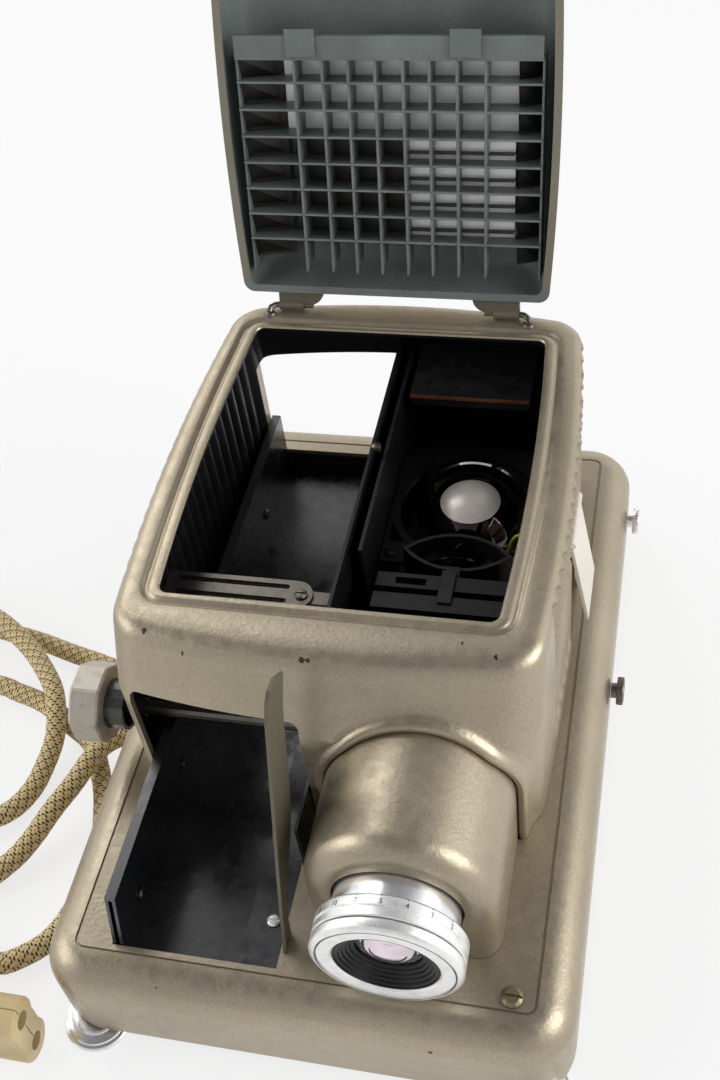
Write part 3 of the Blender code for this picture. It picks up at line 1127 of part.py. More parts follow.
def build_condenser():
    """Pointed oval pocket with the thick condenser lens standing in it, and its retaining strap."""
    low = BASE_TOP + GAP
    outer = cat_eye(CONDENSER_HALF_WIDTH, CONDENSER_HALF_DEPTH, CONDENSER_Y)
    holder = flat_shape("condenser_holder", outer, CONDENSER_TOP - low, "xy", (CONDENSER_TOP + low) / 2, GUNMETAL)
    inner = cat_eye(CONDENSER_HALF_WIDTH - CONDENSER_WALL * 1.5, CONDENSER_HALF_DEPTH - CONDENSER_WALL, CONDENSER_Y)
    top = CONDENSER_TOP + CUT
    boolean(holder, flat_shape("condenser_pocket_cutter", inner, top - CONDENSER_FOOT, "xy", (top + CONDENSER_FOOT) / 2,
                               cutter=True))
    boolean(holder, cylinder("condenser_window_cutter", (AXIS_X, CONDENSER_Y - CONDENSER_HALF_DEPTH - CUT, AXIS_Z), "y",
                             CONDENSER_WINDOW, 2 * (CONDENSER_HALF_DEPTH + CUT), cutter=True, facets=24))
    biconvex("condenser_lens", (AXIS_X, CONDENSER_Y, AXIS_Z), CONDENSER_LENS_RADIUS, CONDENSER_LENS_EDGE,
             CONDENSER_LENS_BULGE, front_flat=False)

    thick = STRAP_THICKNESS
    rim = CONDENSER_TOP + GAP
    rest = GATE_TOP + GAP
    root = CONDENSER_Y - CONDENSER_HALF_DEPTH + CONDENSER_WALL
    rise = STRAP_RISE_Y
    front = STRAP_END_Y
    bend = thick * 2
    section = [(root, rim), (root, rim + thick), (rise + bend, rim + thick), (rise, rest + thick), (front, rest + thick),
               (front, rest), (rise - bend, rest), (rise, rim)]
    strap = flat_shape("condenser_strap", section, STRAP_WIDTH, "yz", AXIS_X, STEEL)
    bevel(strap, thick / 3, 1, 60)


def build_lamp():
    """Lamp, socket, lamp plate, mirror, heat shelf and wires."""
    low = BASE_TOP + GAP
    centre = (AXIS_X, LAMP_Y, 0)
    start = math.acos((AXIS_Z - BULB_NECK_Z) / BULB_RADIUS * 0.88)
    turn = math.pi - start
    steps = 9
    profile = [(BULB_RADIUS * math.sin(turn * k / steps), AXIS_Z + BULB_RADIUS * math.cos(turn * k / steps))
               for k in range(steps + 1)]
    profile = [(0, AXIS_Z + BULB_RADIUS)] + profile[1:]
    profile += [(BULB_NECK, BULB_NECK_Z + GAP * 2), (BULB_NECK, SOCKET_TOP + GAP), (0, SOCKET_TOP + GAP)]
    turned("lamp_bulb", profile, centre, "z", GLASS, facets=24)
    cylinder("lamp_socket", (AXIS_X, LAMP_Y, low), "z", SOCKET_RADIUS, SOCKET_TOP - low, BAKELITE, facets=28)

    x0, x1 = LAMP_PLATE_X
    y0, y1 = LAMP_PLATE_Y
    boss = (LAMP_BOSS_X, LAMP_BOSS_Y)
    corner = LAMP_CORNER
    outline = [(x1, y0), (x1, y1 - corner), (x1 - corner, y1), (x0 + corner, y1), (x0, y1 - corner), (x0, y0)]
    web = [(x0 + WEB_INSET, WEB_Y), (x0 + WEB_INSET, WEB_Y + WEB_LENGTH), (x0 + WEB_INSET + WEB_WIDTH, WEB_Y)]
    plate = flat_shape("lamp_plate", outline, LAMP_PLATE_THICKNESS, "xy", LAMP_PLATE_Z, INNER, holes=(web,))
    under = LAMP_PLATE_Z
    boolean(plate, cylinder("lamp_hole_cutter", (AXIS_X, LAMP_Y, under - LAMP_PLATE_THICKNESS), "z", LAMP_HOLE_RADIUS,
                            LAMP_PLATE_THICKNESS * 2, cutter=True, facets=36))
    side = CONDENSER_HALF_WIDTH + LAMP_FRONT_MARGIN
    boolean(plate, box("lamp_front_cutter", (AXIS_X - side, y0 - CUT, under - CUT),
                       (AXIS_X + side, CONDENSER_Y + CONDENSER_HALF_DEPTH + LAMP_FRONT_MARGIN, under + CUT),
                       cutter=True))
    post = LAMP_POST_RADIUS
    posts = ((x0 + post * 2, y1 - corner), (x1 - post * 1.2, y1 - corner), (x1 - post * 1.2, y0 + post * 1.2), boss)
    for index, (px, py) in enumerate(posts):
        boolean(plate, cylinder("lamp_post_join_%d" % (index + 1), (px, py, low), "z", post, under - low, cutter=True,
                                facets=12), 'UNION')
    slotted_screw("lamp_plate_screw", (boss[0], boss[1], LAMP_PLATE_Z + LAMP_PLATE_THICKNESS / 2 + GAP), "z",
                  SMALL_SCREW_RADIUS, SMALL_SCREW_HEAD, SMALL_SCREW_RADIUS / 2, SMALL_SCREW_LENGTH, STEEL)
    boolean(plate, cylinder("lamp_screw_cutter", (boss[0], boss[1], LAMP_PLATE_Z - SMALL_SCREW_LENGTH), "z",
                            SMALL_SCREW_RADIUS / 2 + GAP, SMALL_SCREW_LENGTH + LAMP_PLATE_THICKNESS, cutter=True))

    outer_radius = MIRROR_RADIUS + MIRROR_WALL
    reach = math.asin(MIRROR_RIM / outer_radius)
    steps = 4
    outer = [(outer_radius * math.sin(reach * k / steps), outer_radius * math.cos(reach * k / steps))
             for k in range(steps + 1)]
    inner = [(MIRROR_RADIUS * math.sin(reach * k / steps), MIRROR_RADIUS * math.cos(reach * k / steps))
             for k in range(steps, -1, -1)]
    mirror = turned("mirror", [(0, outer[0][1])] + outer[1:] + inner[:-1] + [(0, inner[-1][1])],
                    (AXIS_X, LAMP_Y, AXIS_Z), "y", SILVER, facets=20)
    stem_y = LAMP_Y + outer_radius - MIRROR_WALL / 2 + MIRROR_STEM_RADIUS
    stem = cylinder("mirror_stem_join", (AXIS_X, stem_y, low), "z", MIRROR_STEM_RADIUS,
                    AXIS_Z + MIRROR_STEM_RADIUS - low, cutter=True, facets=12)
    boolean(mirror, stem, 'UNION')

    bm = bmesh.new()
    thick = SHELF_THICKNESS
    add_box(bm, (SHELF_X[0], SHELF_Y[0], SHELF_Z), (SHELF_X[1], SHELF_Y[1], SHELF_Z + thick))
    shelf = from_bmesh("heat_shelf", bm, STEEL)
    boolean(shelf, box("shelf_lip_join", (SHELF_X[0], SHELF_Y[0], SHELF_Z - SHELF_LIP),
                       (SHELF_X[1], SHELF_Y[0] + thick, SHELF_Z + thick / 2), cutter=True), 'UNION')
    points, _ = smooth_path(WIRE_ROUTE, 14)
    tube("lamp_wire", points, WIRE_RADIUS, WIRE)


def build_lid():
    """Dished lid with its egg-crate baffle, drawn closed and swung open about the hinge."""
    hinge = empty("lid_hinge", (LID_X, HINGE_Y, HINGE_Z))
    seat = HOUSING_TOP + LID_SEAT
    rings = []
    for inset, rise in LID_shares:
        grow = inset * LID_HALF_X
        rings.append(plan_ring(LID_HALF_X - grow, LID_REAR - LID_LENGTH + grow, LID_REAR - grow,
                               LID_CORNER + grow / 4, seat + LID_HEIGHT * rise, LID_BOW_share, 0.0, 0.0, LID_X))
    bm = bmesh.new()
    loft(bm, rings, cap_first=False)
    lid = from_bmesh("lid_shell", bm, PAINT, smooth=True)
    solid = lid.modifiers.new("Wall", 'SOLIDIFY')
    solid.thickness = LID_WALL
    solid.offset = -1
    solid.use_even_offset = True

    rear = LID_REAR - BAFFLE_REAR_INSET
    front = rear - BAFFLE_LENGTH
    low = seat + BAFFLE_BAR
    top = low + BAFFLE_DEPTH
    frame = BAFFLE_FRAME
    half = BAFFLE_HALF_X
    bars = box("lid_baffle", (LID_X - half, front, low), (LID_X + half, rear, top), LID_GREY)
    holes = bmesh.new()
    cell_x = (2 * half - 2 * frame - (BAFFLE_COLUMNS - 1) * BAFFLE_BAR) / BAFFLE_COLUMNS
    for column in range(BAFFLE_COLUMNS):
        for row in range(BAFFLE_ROWS):
            x = LID_X - half + frame + column * (cell_x + BAFFLE_BAR)
            y = front + frame + max(row * BAFFLE_ROW_PITCH - BAFFLE_FIRST_SHORT, 0)
            end = front + frame + (row + 1) * BAFFLE_ROW_PITCH - BAFFLE_FIRST_SHORT - BAFFLE_BAR
            if row == BAFFLE_ROWS - 1:
                end = rear - frame
            add_box(holes, (x, y, low - CUT), (x + cell_x, end, top + CUT))
    cells = from_bmesh("baffle_holes_cutter", holes, cutter=True)
    boolean(bars, cells)
    flange = box("baffle_flange_join", (LID_X - half, front - BAFFLE_FLANGE_DEPTH, low),
                 (LID_X + half, front + frame / 2, low + BAFFLE_FLANGE), cutter=True)
    boolean(bars, flange, 'UNION')
    clips = []
    for name, x in (("lid_clip_left", LID_X - SPRING_CLIP_X[0]), ("lid_clip_right", LID_X + SPRING_CLIP_X[1])):
        y = front - BAFFLE_FLANGE_DEPTH
        clip_low = low - SPRING_CLIP_THICKNESS - GAP
        clips.append(box(name, (x - SPRING_CLIP_WIDTH / 2, y - SPRING_CLIP_LENGTH / 4, clip_low),
                         (x + SPRING_CLIP_WIDTH / 2, y + SPRING_CLIP_LENGTH * 0.75, low - GAP), STEEL))
    lugs = []
    for side, sign in (("left", -1), ("right", 1)):
        x = LID_X + HINGE_SHIFT + sign * LUG_X
        barrel = cylinder("hinge_lug_" + side, (x - LUG_WIDTH / 2, HINGE_Y, HINGE_Z), "x", LUG_BARREL, LUG_WIDTH, OLIVE,
                          facets=16)
        arm = box("lug_arm_join_" + side, (x - LUG_WIDTH / 2, LID_REAR + GAP, HINGE_Z - LUG_BARREL / 2),
                  (x + LUG_WIDTH / 2, HINGE_Y, HINGE_Z + LUG_BARREL * 0.9), cutter=True)
        boolean(barrel, arm, 'UNION')
        bore = cylinder("lug_bore_cutter_" + side, (x - LUG_WIDTH, HINGE_Y, HINGE_Z), "x", HINGE_PIN_RADIUS + GAP,
                        LUG_WIDTH * 2, cutter=True, facets=12)
        boolean(barrel, bore)
        lugs.extend((barrel, arm, bore))
        inner = LID_X + HINGE_SHIFT + sign * (LUG_X - LUG_WIDTH / 4)
        outer = LID_X + HINGE_SHIFT + sign * PIN_X
        wire = HINGE_PIN_RADIUS
        points = [(inner, HINGE_Y, HINGE_Z), (outer - sign * wire * 2, HINGE_Y, HINGE_Z),
                  (outer, HINGE_Y - wire * 0.4, HINGE_Z),
                  (outer + sign * wire * 1.3, HINGE_Y - wire * 1.6, HINGE_Z - wire * 0.1),
                  (outer + sign * wire * 1.6, HINGE_Y - wire * 2.8, HINGE_Z - wire * 0.7),
                  (outer + sign * wire * 1.6, HINGE_Y - wire * 2.8, HOUSING_TOP + GAP)]
        tube("hinge_pin_" + side, points, HINGE_PIN_RADIUS, CHROME)
    for piece in [lid, bars, cells, flange] + clips + lugs:
        hang(piece, hinge)
    hinge.rotation_euler = (-LID_OPEN, 0, 0)


def build_flap():
    """Sheet flap that hangs over the vent, tilted outwards about its upper edge."""
    hinge = empty("vent_hinge", (FLAP_HINGE_X, FLAP_Y, FLAP_HINGE_Z))
    half = FLAP_LENGTH / 2
    flap = box("vent_flap", (FLAP_HINGE_X - FLAP_THICKNESS / 2, FLAP_Y - half, FLAP_HINGE_Z - FLAP_HEIGHT),
               (FLAP_HINGE_X + FLAP_THICKNESS / 2, FLAP_Y + half, FLAP_HINGE_Z), PAINT)
    barrel = cylinder("flap_barrel_join", (FLAP_HINGE_X, FLAP_Y - half, FLAP_HINGE_Z), "y", FLAP_BARREL_RADIUS,
                      FLAP_LENGTH, cutter=True, facets=12)
    boolean(flap, barrel, 'UNION')
    reach = (VENT_Y[1] - VENT_Y[0]) / 2 - GAP
    middle = (VENT_Y[0] + VENT_Y[1]) / 2
    pin = cylinder("flap_pin_join", (FLAP_HINGE_X, middle - reach, FLAP_HINGE_Z), "y", FLAP_PIN_RADIUS, reach * 2,
                   cutter=True, facets=12)
    boolean(flap, pin, 'UNION')
    for piece in (flap, barrel, pin):
        hang(piece, hinge)
    hinge.rotation_euler = (0, -FLAP_TILT, 0)


def build_connector():
    """Appliance connector lying on its narrow side, with two holes in its face."""
    length = CONNECTOR_LENGTH
    lobe = CONNECTOR_LOBE
    back = CONNECTOR_FACE_X - length
    low_z = lobe
    high_z = lobe + PIN_SPACING
    connector = cylinder("appliance_connector", (back, CONNECTOR_Y, low_z), "x", lobe, length, BEIGE, facets=16)
    upper = cylinder("connector_upper_join", (back, CONNECTOR_Y, high_z), "x", lobe, length, cutter=True, facets=16)
    web = box("connector_web_join", (back, CONNECTOR_Y - lobe * 0.8, low_z),
              (CONNECTOR_FACE_X - lobe / 4, CONNECTOR_Y + lobe * 0.8, high_z), cutter=True)
    neck = cylinder("connector_neck_join", (back - CONNECTOR_NECK_LENGTH, CONNECTOR_Y, (low_z + high_z) / 2), "x",
                    CONNECTOR_NECK_RADIUS, CONNECTOR_NECK_LENGTH + lobe, cutter=True)
    for piece in (upper, web, neck):
        boolean(connector, piece, 'UNION')
    for label, z in (("lower", low_z), ("upper", high_z)):
        boolean(connector, cylinder("connector_hole_" + label, (CONNECTOR_FACE_X - CONNECTOR_HOLE_DEPTH, CONNECTOR_Y, z),
                                    "x", CONNECTOR_HOLE, CONNECTOR_HOLE_DEPTH + CUT, cutter=True))
    return connector, [upper, web, neck]


def coil_points():
    """Two layers of loops: in along the lower one, a climb, and out again along the upper one."""
    per_layer = COIL_LOOPS // COIL_LAYERS
    points = []
    low = CORD_RADIUS
    turns = per_layer * COIL_POINTS
    begin = math.pi / 2
    for k in range(turns + 1):
        angle = begin + 2 * math.pi * k / COIL_POINTS
        radius = COIL_RADIUS - COIL_PITCH * k / COIL_POINTS
        points.append((COIL_X + radius * math.cos(angle), COIL_Y + radius * math.sin(angle), low))
    climb = COIL_POINTS // 2
    innermost = COIL_RADIUS - COIL_PITCH * per_layer
    for k in range(1, climb + 1):
        share = k / climb
        angle = begin + 2 * math.pi * (turns + k) / COIL_POINTS
        radius = innermost - COIL_PITCH * share * (1 - share)
        points.append((COIL_X + radius * math.cos(angle), COIL_Y + radius * math.sin(angle),
                       low + COIL_RISE * (0.5 - 0.5 * math.cos(math.pi * share))))
    for k in range(1, turns + 1):
        angle = begin + 2 * math.pi * (turns + climb + k) / COIL_POINTS
        radius = innermost + COIL_PITCH * k / COIL_POINTS
        points.append((COIL_X + radius * math.cos(angle), COIL_Y + radius * math.sin(angle), low + COIL_RISE))
    return points


def least_gap(points, radius, skip):
    """Least space between one part of a tube and another that is not its neighbour along it."""
    least = None
    vectors = [Vector(p) for p in points]
    for i, first in enumerate(vectors):
        for second in vectors[i + skip:]:
            gap = (first - second).length - 2 * radius
            if least is None or gap < least:
                least = gap
    return least


def build_cord():
    """The lead: connector, free stretch on the table, coil of the rest and mains plug."""
    connector, joined = build_connector()
    mouth = CONNECTOR_FACE_X - CONNECTOR_LENGTH - CONNECTOR_NECK_LENGTH
    coil = coil_points()
    first = Vector(coil[0])
    tangent = Vector((-1, 0, 0))
    run = 2 * CORD_RADIUS
    lead_in = [tuple(first - tangent * run * k / 2) for k in (2, 1)]
    last = Vector(coil[-1])
    way = (last - Vector(coil[-2])).normalized()
    climb = Vector((0, 0, PLUG_RADIUS + GAP - last.z))
    steps = 6
    lead_out = []
    for k in range(1, steps + 1):
        share = k / steps
        lead_out.append(tuple(last + way * PLUG_LEAD * share + climb * share * share * (3 - 2 * share)))
    lead_out.append(tuple(Vector(lead_out[-1]) + way * run))
    whole = lead_in + coil + lead_out
    tube("cord_coil", whole, CORD_RADIUS, BRAID, resolution=1)
    print("coil: least gap %.2f mm" % (least_gap(whole, CORD_RADIUS, COIL_POINTS // 2) * 1000))

    route = list(CORD_ROUTE)
    route[0] = (mouth - GAP, CONNECTOR_Y, CONNECTOR_LOBE + PIN_SPACING / 2)
    end = Vector(lead_in[0]) - tangent * GAP
    route += [tuple(end - tangent * run * share) for share in (3, 2, 1, 0)]
    points, length = smooth_path(route, CORD_STEPS)
    tube("cord", points, CORD_RADIUS, BRAID, resolution=2)
    coil_length = sum((Vector(b) - Vector(a)).length for a, b in zip(whole, whole[1:]))
    print("cord: free %.0f mm, coil %.0f mm, least gap %.2f mm" % (
        length * 1000, coil_length * 1000, least_gap(points, CORD_RADIUS, 5) * 1000))
    print("cord lowest point %.3f mm" % ((min(p[2] for p in points) - CORD_RADIUS) * 1000))
    build_plug(Vector(lead_out[-1]), way)


def build_plug(end, way):
    """Round mains plug with two pins, where the coil ends."""
    place = end + way * GAP
    profile = ((0, PLUG_LENGTH + PLUG_NECK_LENGTH), (PLUG_RADIUS * 0.94, PLUG_LENGTH + PLUG_NECK_LENGTH),
               (PLUG_RADIUS, PLUG_NECK_LENGTH + PLUG_LENGTH * 0.9), (PLUG_RADIUS, PLUG_NECK_LENGTH + PLUG_LENGTH * 0.55),
               (PLUG_NECK_RADIUS * 1.4, PLUG_NECK_LENGTH), (PLUG_NECK_RADIUS, PLUG_NECK_LENGTH * 0.8),
               (PLUG_NECK_RADIUS, 0), (0, 0))
    turn = Vector((0, 0, 1)).rotation_difference(way).to_matrix().to_4x4()
    plug = turned("mains_plug", profile, (0, 0, 0), "z", BEIGE, facets=16)
    plug.matrix_world = Matrix.Translation(place) @ turn
    side = way.cross(Vector((0, 0, 1))).normalized()
    for label, sign in (("a", -1), ("b", 1)):
        pin = cylinder("plug_pin_join_" + label, (0, 0, 0), "z", PLUG_PIN_RADIUS, PLUG_PIN_LENGTH + PLUG_PIN_RADIUS,
                       cutter=True, facets=12)
        start = place + way * (PLUG_LENGTH + PLUG_NECK_LENGTH - PLUG_PIN_RADIUS) + side * sign * PLUG_PIN_SPACING / 2
        pin.matrix_world = Matrix.Translation(start) @ turn
        boolean(plug, pin, 'UNION')


def lid_reach():
    """How far back the open lid reaches: the farthest of its rings' front edges after the swing."""
    turn = -LID_OPEN
    reach = []
    for inset, rise in LID_shares:
        y = LID_REAR - LID_LENGTH + inset * LID_HALF_X - HINGE_Y
        z = HOUSING_TOP + LID_SEAT + LID_HEIGHT * rise - HINGE_Z
        reach.append(HINGE_Y + y * math.cos(turn) - z * math.sin(turn))
    return max(reach)


def centre_frame():
    """Move everything so that the origin lies under the middle of the projector, lid open."""
    middle = (lid_reach() + FOOT_Y - FOOT_WHEEL_RADIUS) / 2
    print("shift along Y: %.3f mm" % (-middle * 1000))
    for obj in bpy.data.objects:
        if obj.parent is None:
            obj.location.y -= middle


def main():
    """Build the whole projector."""
    global parts, cutters
    clear_scene()
    parts = bpy.data.collections.new(COLLECTION)
    cutters = bpy.data.collections.new(CUTTERS)
    for collection in (parts, cutters):
        bpy.context.scene.collection.children.link(collection)
    build_base()
    build_base_details()
    build_track()
    build_housing()
    build_inner_walls()
    build_changer()
    build_shroud()
    build_lens()
    build_gate()
    build_condenser()
    build_lamp()
    build_lid()
    build_flap()
    build_cord()
    centre_frame()
    bpy.context.view_layer.update()


main()
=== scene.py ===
"""Looks of a slide projector: finishes, finer forms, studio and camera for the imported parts."""
import logging
import math
from dataclasses import dataclass
from enum import Enum
from typing import Callable, Iterable, Optional, Sequence

import bmesh
import bpy
from mathutils import Matrix, Vector
from mathutils.bvhtree import BVHTree


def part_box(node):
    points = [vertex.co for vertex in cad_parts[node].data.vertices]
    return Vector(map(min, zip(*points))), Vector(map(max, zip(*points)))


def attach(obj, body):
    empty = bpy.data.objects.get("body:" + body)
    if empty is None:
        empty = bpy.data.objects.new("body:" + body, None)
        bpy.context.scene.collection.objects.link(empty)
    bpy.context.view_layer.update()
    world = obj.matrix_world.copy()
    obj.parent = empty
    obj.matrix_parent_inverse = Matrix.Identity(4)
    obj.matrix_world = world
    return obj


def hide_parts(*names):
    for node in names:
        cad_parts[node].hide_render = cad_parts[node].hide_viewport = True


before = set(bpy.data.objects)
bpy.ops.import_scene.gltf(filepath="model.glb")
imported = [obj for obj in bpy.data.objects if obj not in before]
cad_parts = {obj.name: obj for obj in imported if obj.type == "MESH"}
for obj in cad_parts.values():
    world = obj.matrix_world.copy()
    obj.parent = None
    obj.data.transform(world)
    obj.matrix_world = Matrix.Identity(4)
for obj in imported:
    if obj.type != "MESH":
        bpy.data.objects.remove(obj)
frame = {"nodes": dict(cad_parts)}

LOG = logging.getLogger("projector")
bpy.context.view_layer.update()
Point = tuple[float, float, float]


def datum() -> Vector:
    """Return the place of the base's middle, from which the parts are drawn."""
    low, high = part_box("base_shell")
    return Vector(((low[0] + high[0]) / 2, (low[1] + high[1]) / 2, 0.0))


DATUM = datum()
LEAST_CORNER = 0.0005
WELD = 0.000005
OVERRUN = 0.001


def linear(code: str) -> tuple[float, float, float, float]:
    """Turn an sRGB hex colour into linear light.

    Args:
        code: six hex digits, such as "c8b58a".

    Returns:
        Red, green, blue and an opacity of 1.
    """
    values = [int(code[k:k + 2], 16) / 255 for k in (0, 2, 4)]
    light = [v / 12.92 if v <= 0.04045 else ((v + 0.055) / 1.055) ** 2.4 for v in values]
    return (light[0], light[1], light[2], 1.0)


def add_node(tree: bpy.types.NodeTree, kind: str, settings: Optional[dict] = None,
             links: Optional[dict] = None) -> bpy.types.Node:
    """Add a node with its settings and its incoming links.

    Args:
        tree: the node tree that takes the node.
        kind: Blender's name of the node type.
        settings: node properties by name, socket values by socket name or number, and "ramp"
            as a list of (position, colour) for a colour ramp.
        links: output sockets by the name or number of the input that takes them.

    Returns:
        The new node.
    """
    node = tree.nodes.new(kind)
    for key, value in (settings or {}).items():
        if key == "ramp":
            ramp = node.color_ramp.elements
            while len(ramp) < len(value):
                ramp.new(0.5)
            for element, (place, colour) in zip(ramp, value):
                element.position = place
                element.color = colour
        elif isinstance(key, str) and hasattr(node, key):
            setattr(node, key, value)
        else:
            node.inputs[key].default_value = value
    for key, source in (links or {}).items():
        tree.links.new(source, node.inputs[key])
    return node


# Finishes


def tones(colour: str, share: float) -> tuple[tuple, tuple]:
    """Return a darker and a lighter tone of a hex colour, that share to either side."""
    tone = linear(colour)
    dark = tuple(v * (1 - share) for v in tone[:3]) + (1.0,)
    light = tuple(min(1.0, v * (1 + share)) for v in tone[:3]) + (1.0,)
    return dark, light


def clouds(tree: bpy.types.NodeTree, place: bpy.types.NodeSocket, grain_mm: float, low: float, high: float,
           stretch: Point = (1.0, 1.0, 1.0)) -> bpy.types.NodeSocket:
    """Return soft noise of a real grain size as a value.

    Args:
        tree: the material's nodes.
        place: coordinates in metres.
        grain_mm: size of one cloud in millimetres.
        low: value in its valleys.
        high: value on its peaks.
        stretch: how often the grain repeats along each axis, against grain_mm.

    Returns:
        The value's socket.
    """
    scaled = add_node(tree, "ShaderNodeVectorMath", {"operation": 'MULTIPLY', 1: stretch}, {0: place})
    noise = add_node(tree, "ShaderNodeTexNoise", {"Scale": 1000.0 / grain_mm, "Detail": 3.0},
                     {"Vector": scaled.outputs[0]})
    spread = add_node(tree, "ShaderNodeMapRange", {1: 0.3, 2: 0.7, 3: low, 4: high}, {0: noise.outputs[0]})
    return spread.outputs[0]


def blend_colour(tree: bpy.types.NodeTree, factor: bpy.types.NodeSocket, first: object,
                 second: object) -> bpy.types.NodeSocket:
    """Mix two colours, each a socket or a plain colour, and return the result's socket."""
    settings, links = {"data_type": 'RGBA'}, {0: factor}
    for key, value in ((6, first), (7, second)):
        (links if isinstance(value, bpy.types.NodeSocket) else settings)[key] = value
    return add_node(tree, "ShaderNodeMix", settings, links).outputs[2]


def relief(tree: bpy.types.NodeTree, shader: bpy.types.Node, height: bpy.types.NodeSocket, depth_mm: float,
           strength: float) -> None:
    """Give a shader a bump of a real depth from a height between 0 and 1."""
    bump = add_node(tree, "ShaderNodeBump", {"Strength": strength, "Distance": depth_mm / 1000},
                    {"Height": height})
    tree.links.new(bump.outputs[0], shader.inputs["Normal"])


@dataclass(frozen=True)
class Finish:
    """A surface as its maker left it; each kind of finish adds its own pattern."""

    name: str
    slot: str
    colour: str
    metallic: float = 0.0
    roughness: float = 0.5
    ior: float = 1.5
    cloud_mm: float = 12.0
    gloss_mm: float = 7.0

    def make(self) -> bpy.types.Material:
        """Return this finish's material, built the first time it is asked for."""
        found = bpy.data.materials.get(self.name)
        if found is not None:
            return found
        material = bpy.data.materials.new(self.name)
        material.use_nodes = True
        material.diffuse_color = linear(self.colour)
        tree = material.node_tree
        tree.nodes.clear()
        shader = add_node(tree, "ShaderNodeBsdfPrincipled", {
            "Base Color": linear(self.colour), "Metallic": self.metallic, "Roughness": self.roughness,
            "IOR": self.ior})
        add_node(tree, "ShaderNodeOutputMaterial", links={"Surface": shader.outputs[0]})
        coordinates = add_node(tree, "ShaderNodeTexCoord")
        self.pattern(tree, shader, coordinates.outputs["Object"])
        return material

    def pattern(self, tree: bpy.types.NodeTree, shader: bpy.types.Node, place: bpy.types.NodeSocket) -> None:
        """Vary the tone softly, as on any sprayed or moulded surface.

        Args:
            tree: the material's nodes.
            shader: its principled shader.
            place: coordinates in metres.
        """
        dark, light = tones(self.colour, 0.12)
        tree.links.new(blend_colour(tree, clouds(tree, place, self.cloud_mm, 0.0, 1.0), dark, light),
                       shader.inputs["Base Color"])
        tree.links.new(clouds(tree, place, self.gloss_mm, self.roughness * 0.85,
                              min(1.0, self.roughness * 1.15)),
                       shader.inputs["Roughness"])


@dataclass(frozen=True)
class HammerEnamel(Finish):
    """Sprayed hammer enamel with metal pigment: fine light and dark flecks, pinholes and small chips.

    The pigment darkens where the surface turns to dark surroundings, and the film lies in tiny dimples.
    """

    cloud_mm: float = 45.0
    gloss_mm: float = 5.0
    fleck_mm: float = 0.8
    dimple_mm: float = 1.6
    dimple_depth_mm: float = 0.05
    pinhole_mm: float = 3.0
    sparse_mm: float = 9.0
    ragged_mm: float = 1.2
    shade: str = "6d6650"
    chip: str = "2e2a20"
    chips: tuple[tuple[float, float, float, float], ...] = ()

    def pattern(self, tree: bpy.types.NodeTree, shader: bpy.types.Node, place: bpy.types.NodeSocket) -> None:
        """Lay clouds, flecks, pinholes and chips over the film, and its dimples under the light."""
        dark, light = tones(self.colour, 0.09)
        colour = blend_colour(tree, clouds(tree, place, self.cloud_mm, 0.0, 1.0), dark, light)
        flecks = clouds(tree, place, self.fleck_mm, 0.0, 0.30)
        colour = blend_colour(tree, flecks, colour, linear(self.shade))
        cells = add_node(tree, "ShaderNodeTexVoronoi", {"Scale": 1000 / self.pinhole_mm, "Randomness": 1.0},
                         {"Vector": place})
        hole = add_node(tree, "ShaderNodeMapRange", {1: 0.05, 2: 0.10, 3: 0.75, 4: 0.0},
                        {0: cells.outputs["Distance"]})
        sparse = clouds(tree, place, self.sparse_mm, -0.4, 1.0)
        few = add_node(tree, "ShaderNodeMath", {"operation": 'MULTIPLY', "use_clamp": True},
                       {0: hole.outputs[0], 1: sparse})
        colour = blend_colour(tree, few.outputs[0], colour, linear(self.chip))
        ragged = clouds(tree, place, self.ragged_mm, -self.ragged_mm / 2000, self.ragged_mm / 2000)
        for x, y, z, size in self.chips:
            spot = (x + DATUM.x, y + DATUM.y, z)
            away = add_node(tree, "ShaderNodeVectorMath", {"operation": 'DISTANCE', 1: spot}, {0: place})
            rough = add_node(tree, "ShaderNodeMath", {"operation": 'ADD'},
                             {0: away.outputs["Value"], 1: ragged})
            bare = add_node(tree, "ShaderNodeMapRange", {1: size * 0.8, 2: size, 3: 0.9, 4: 0.0},
                            {0: rough.outputs[0]})
            colour = blend_colour(tree, bare.outputs[0], colour, linear(self.chip))
        tree.links.new(colour, shader.inputs["Base Color"])
        tree.links.new(clouds(tree, place, self.gloss_mm, self.roughness - 0.06, self.roughness + 0.08),
                       shader.inputs["Roughness"])
        relief(tree, shader, clouds(tree, place, self.dimple_mm, 0.0, 1.0), self.dimple_depth_mm, 0.8)


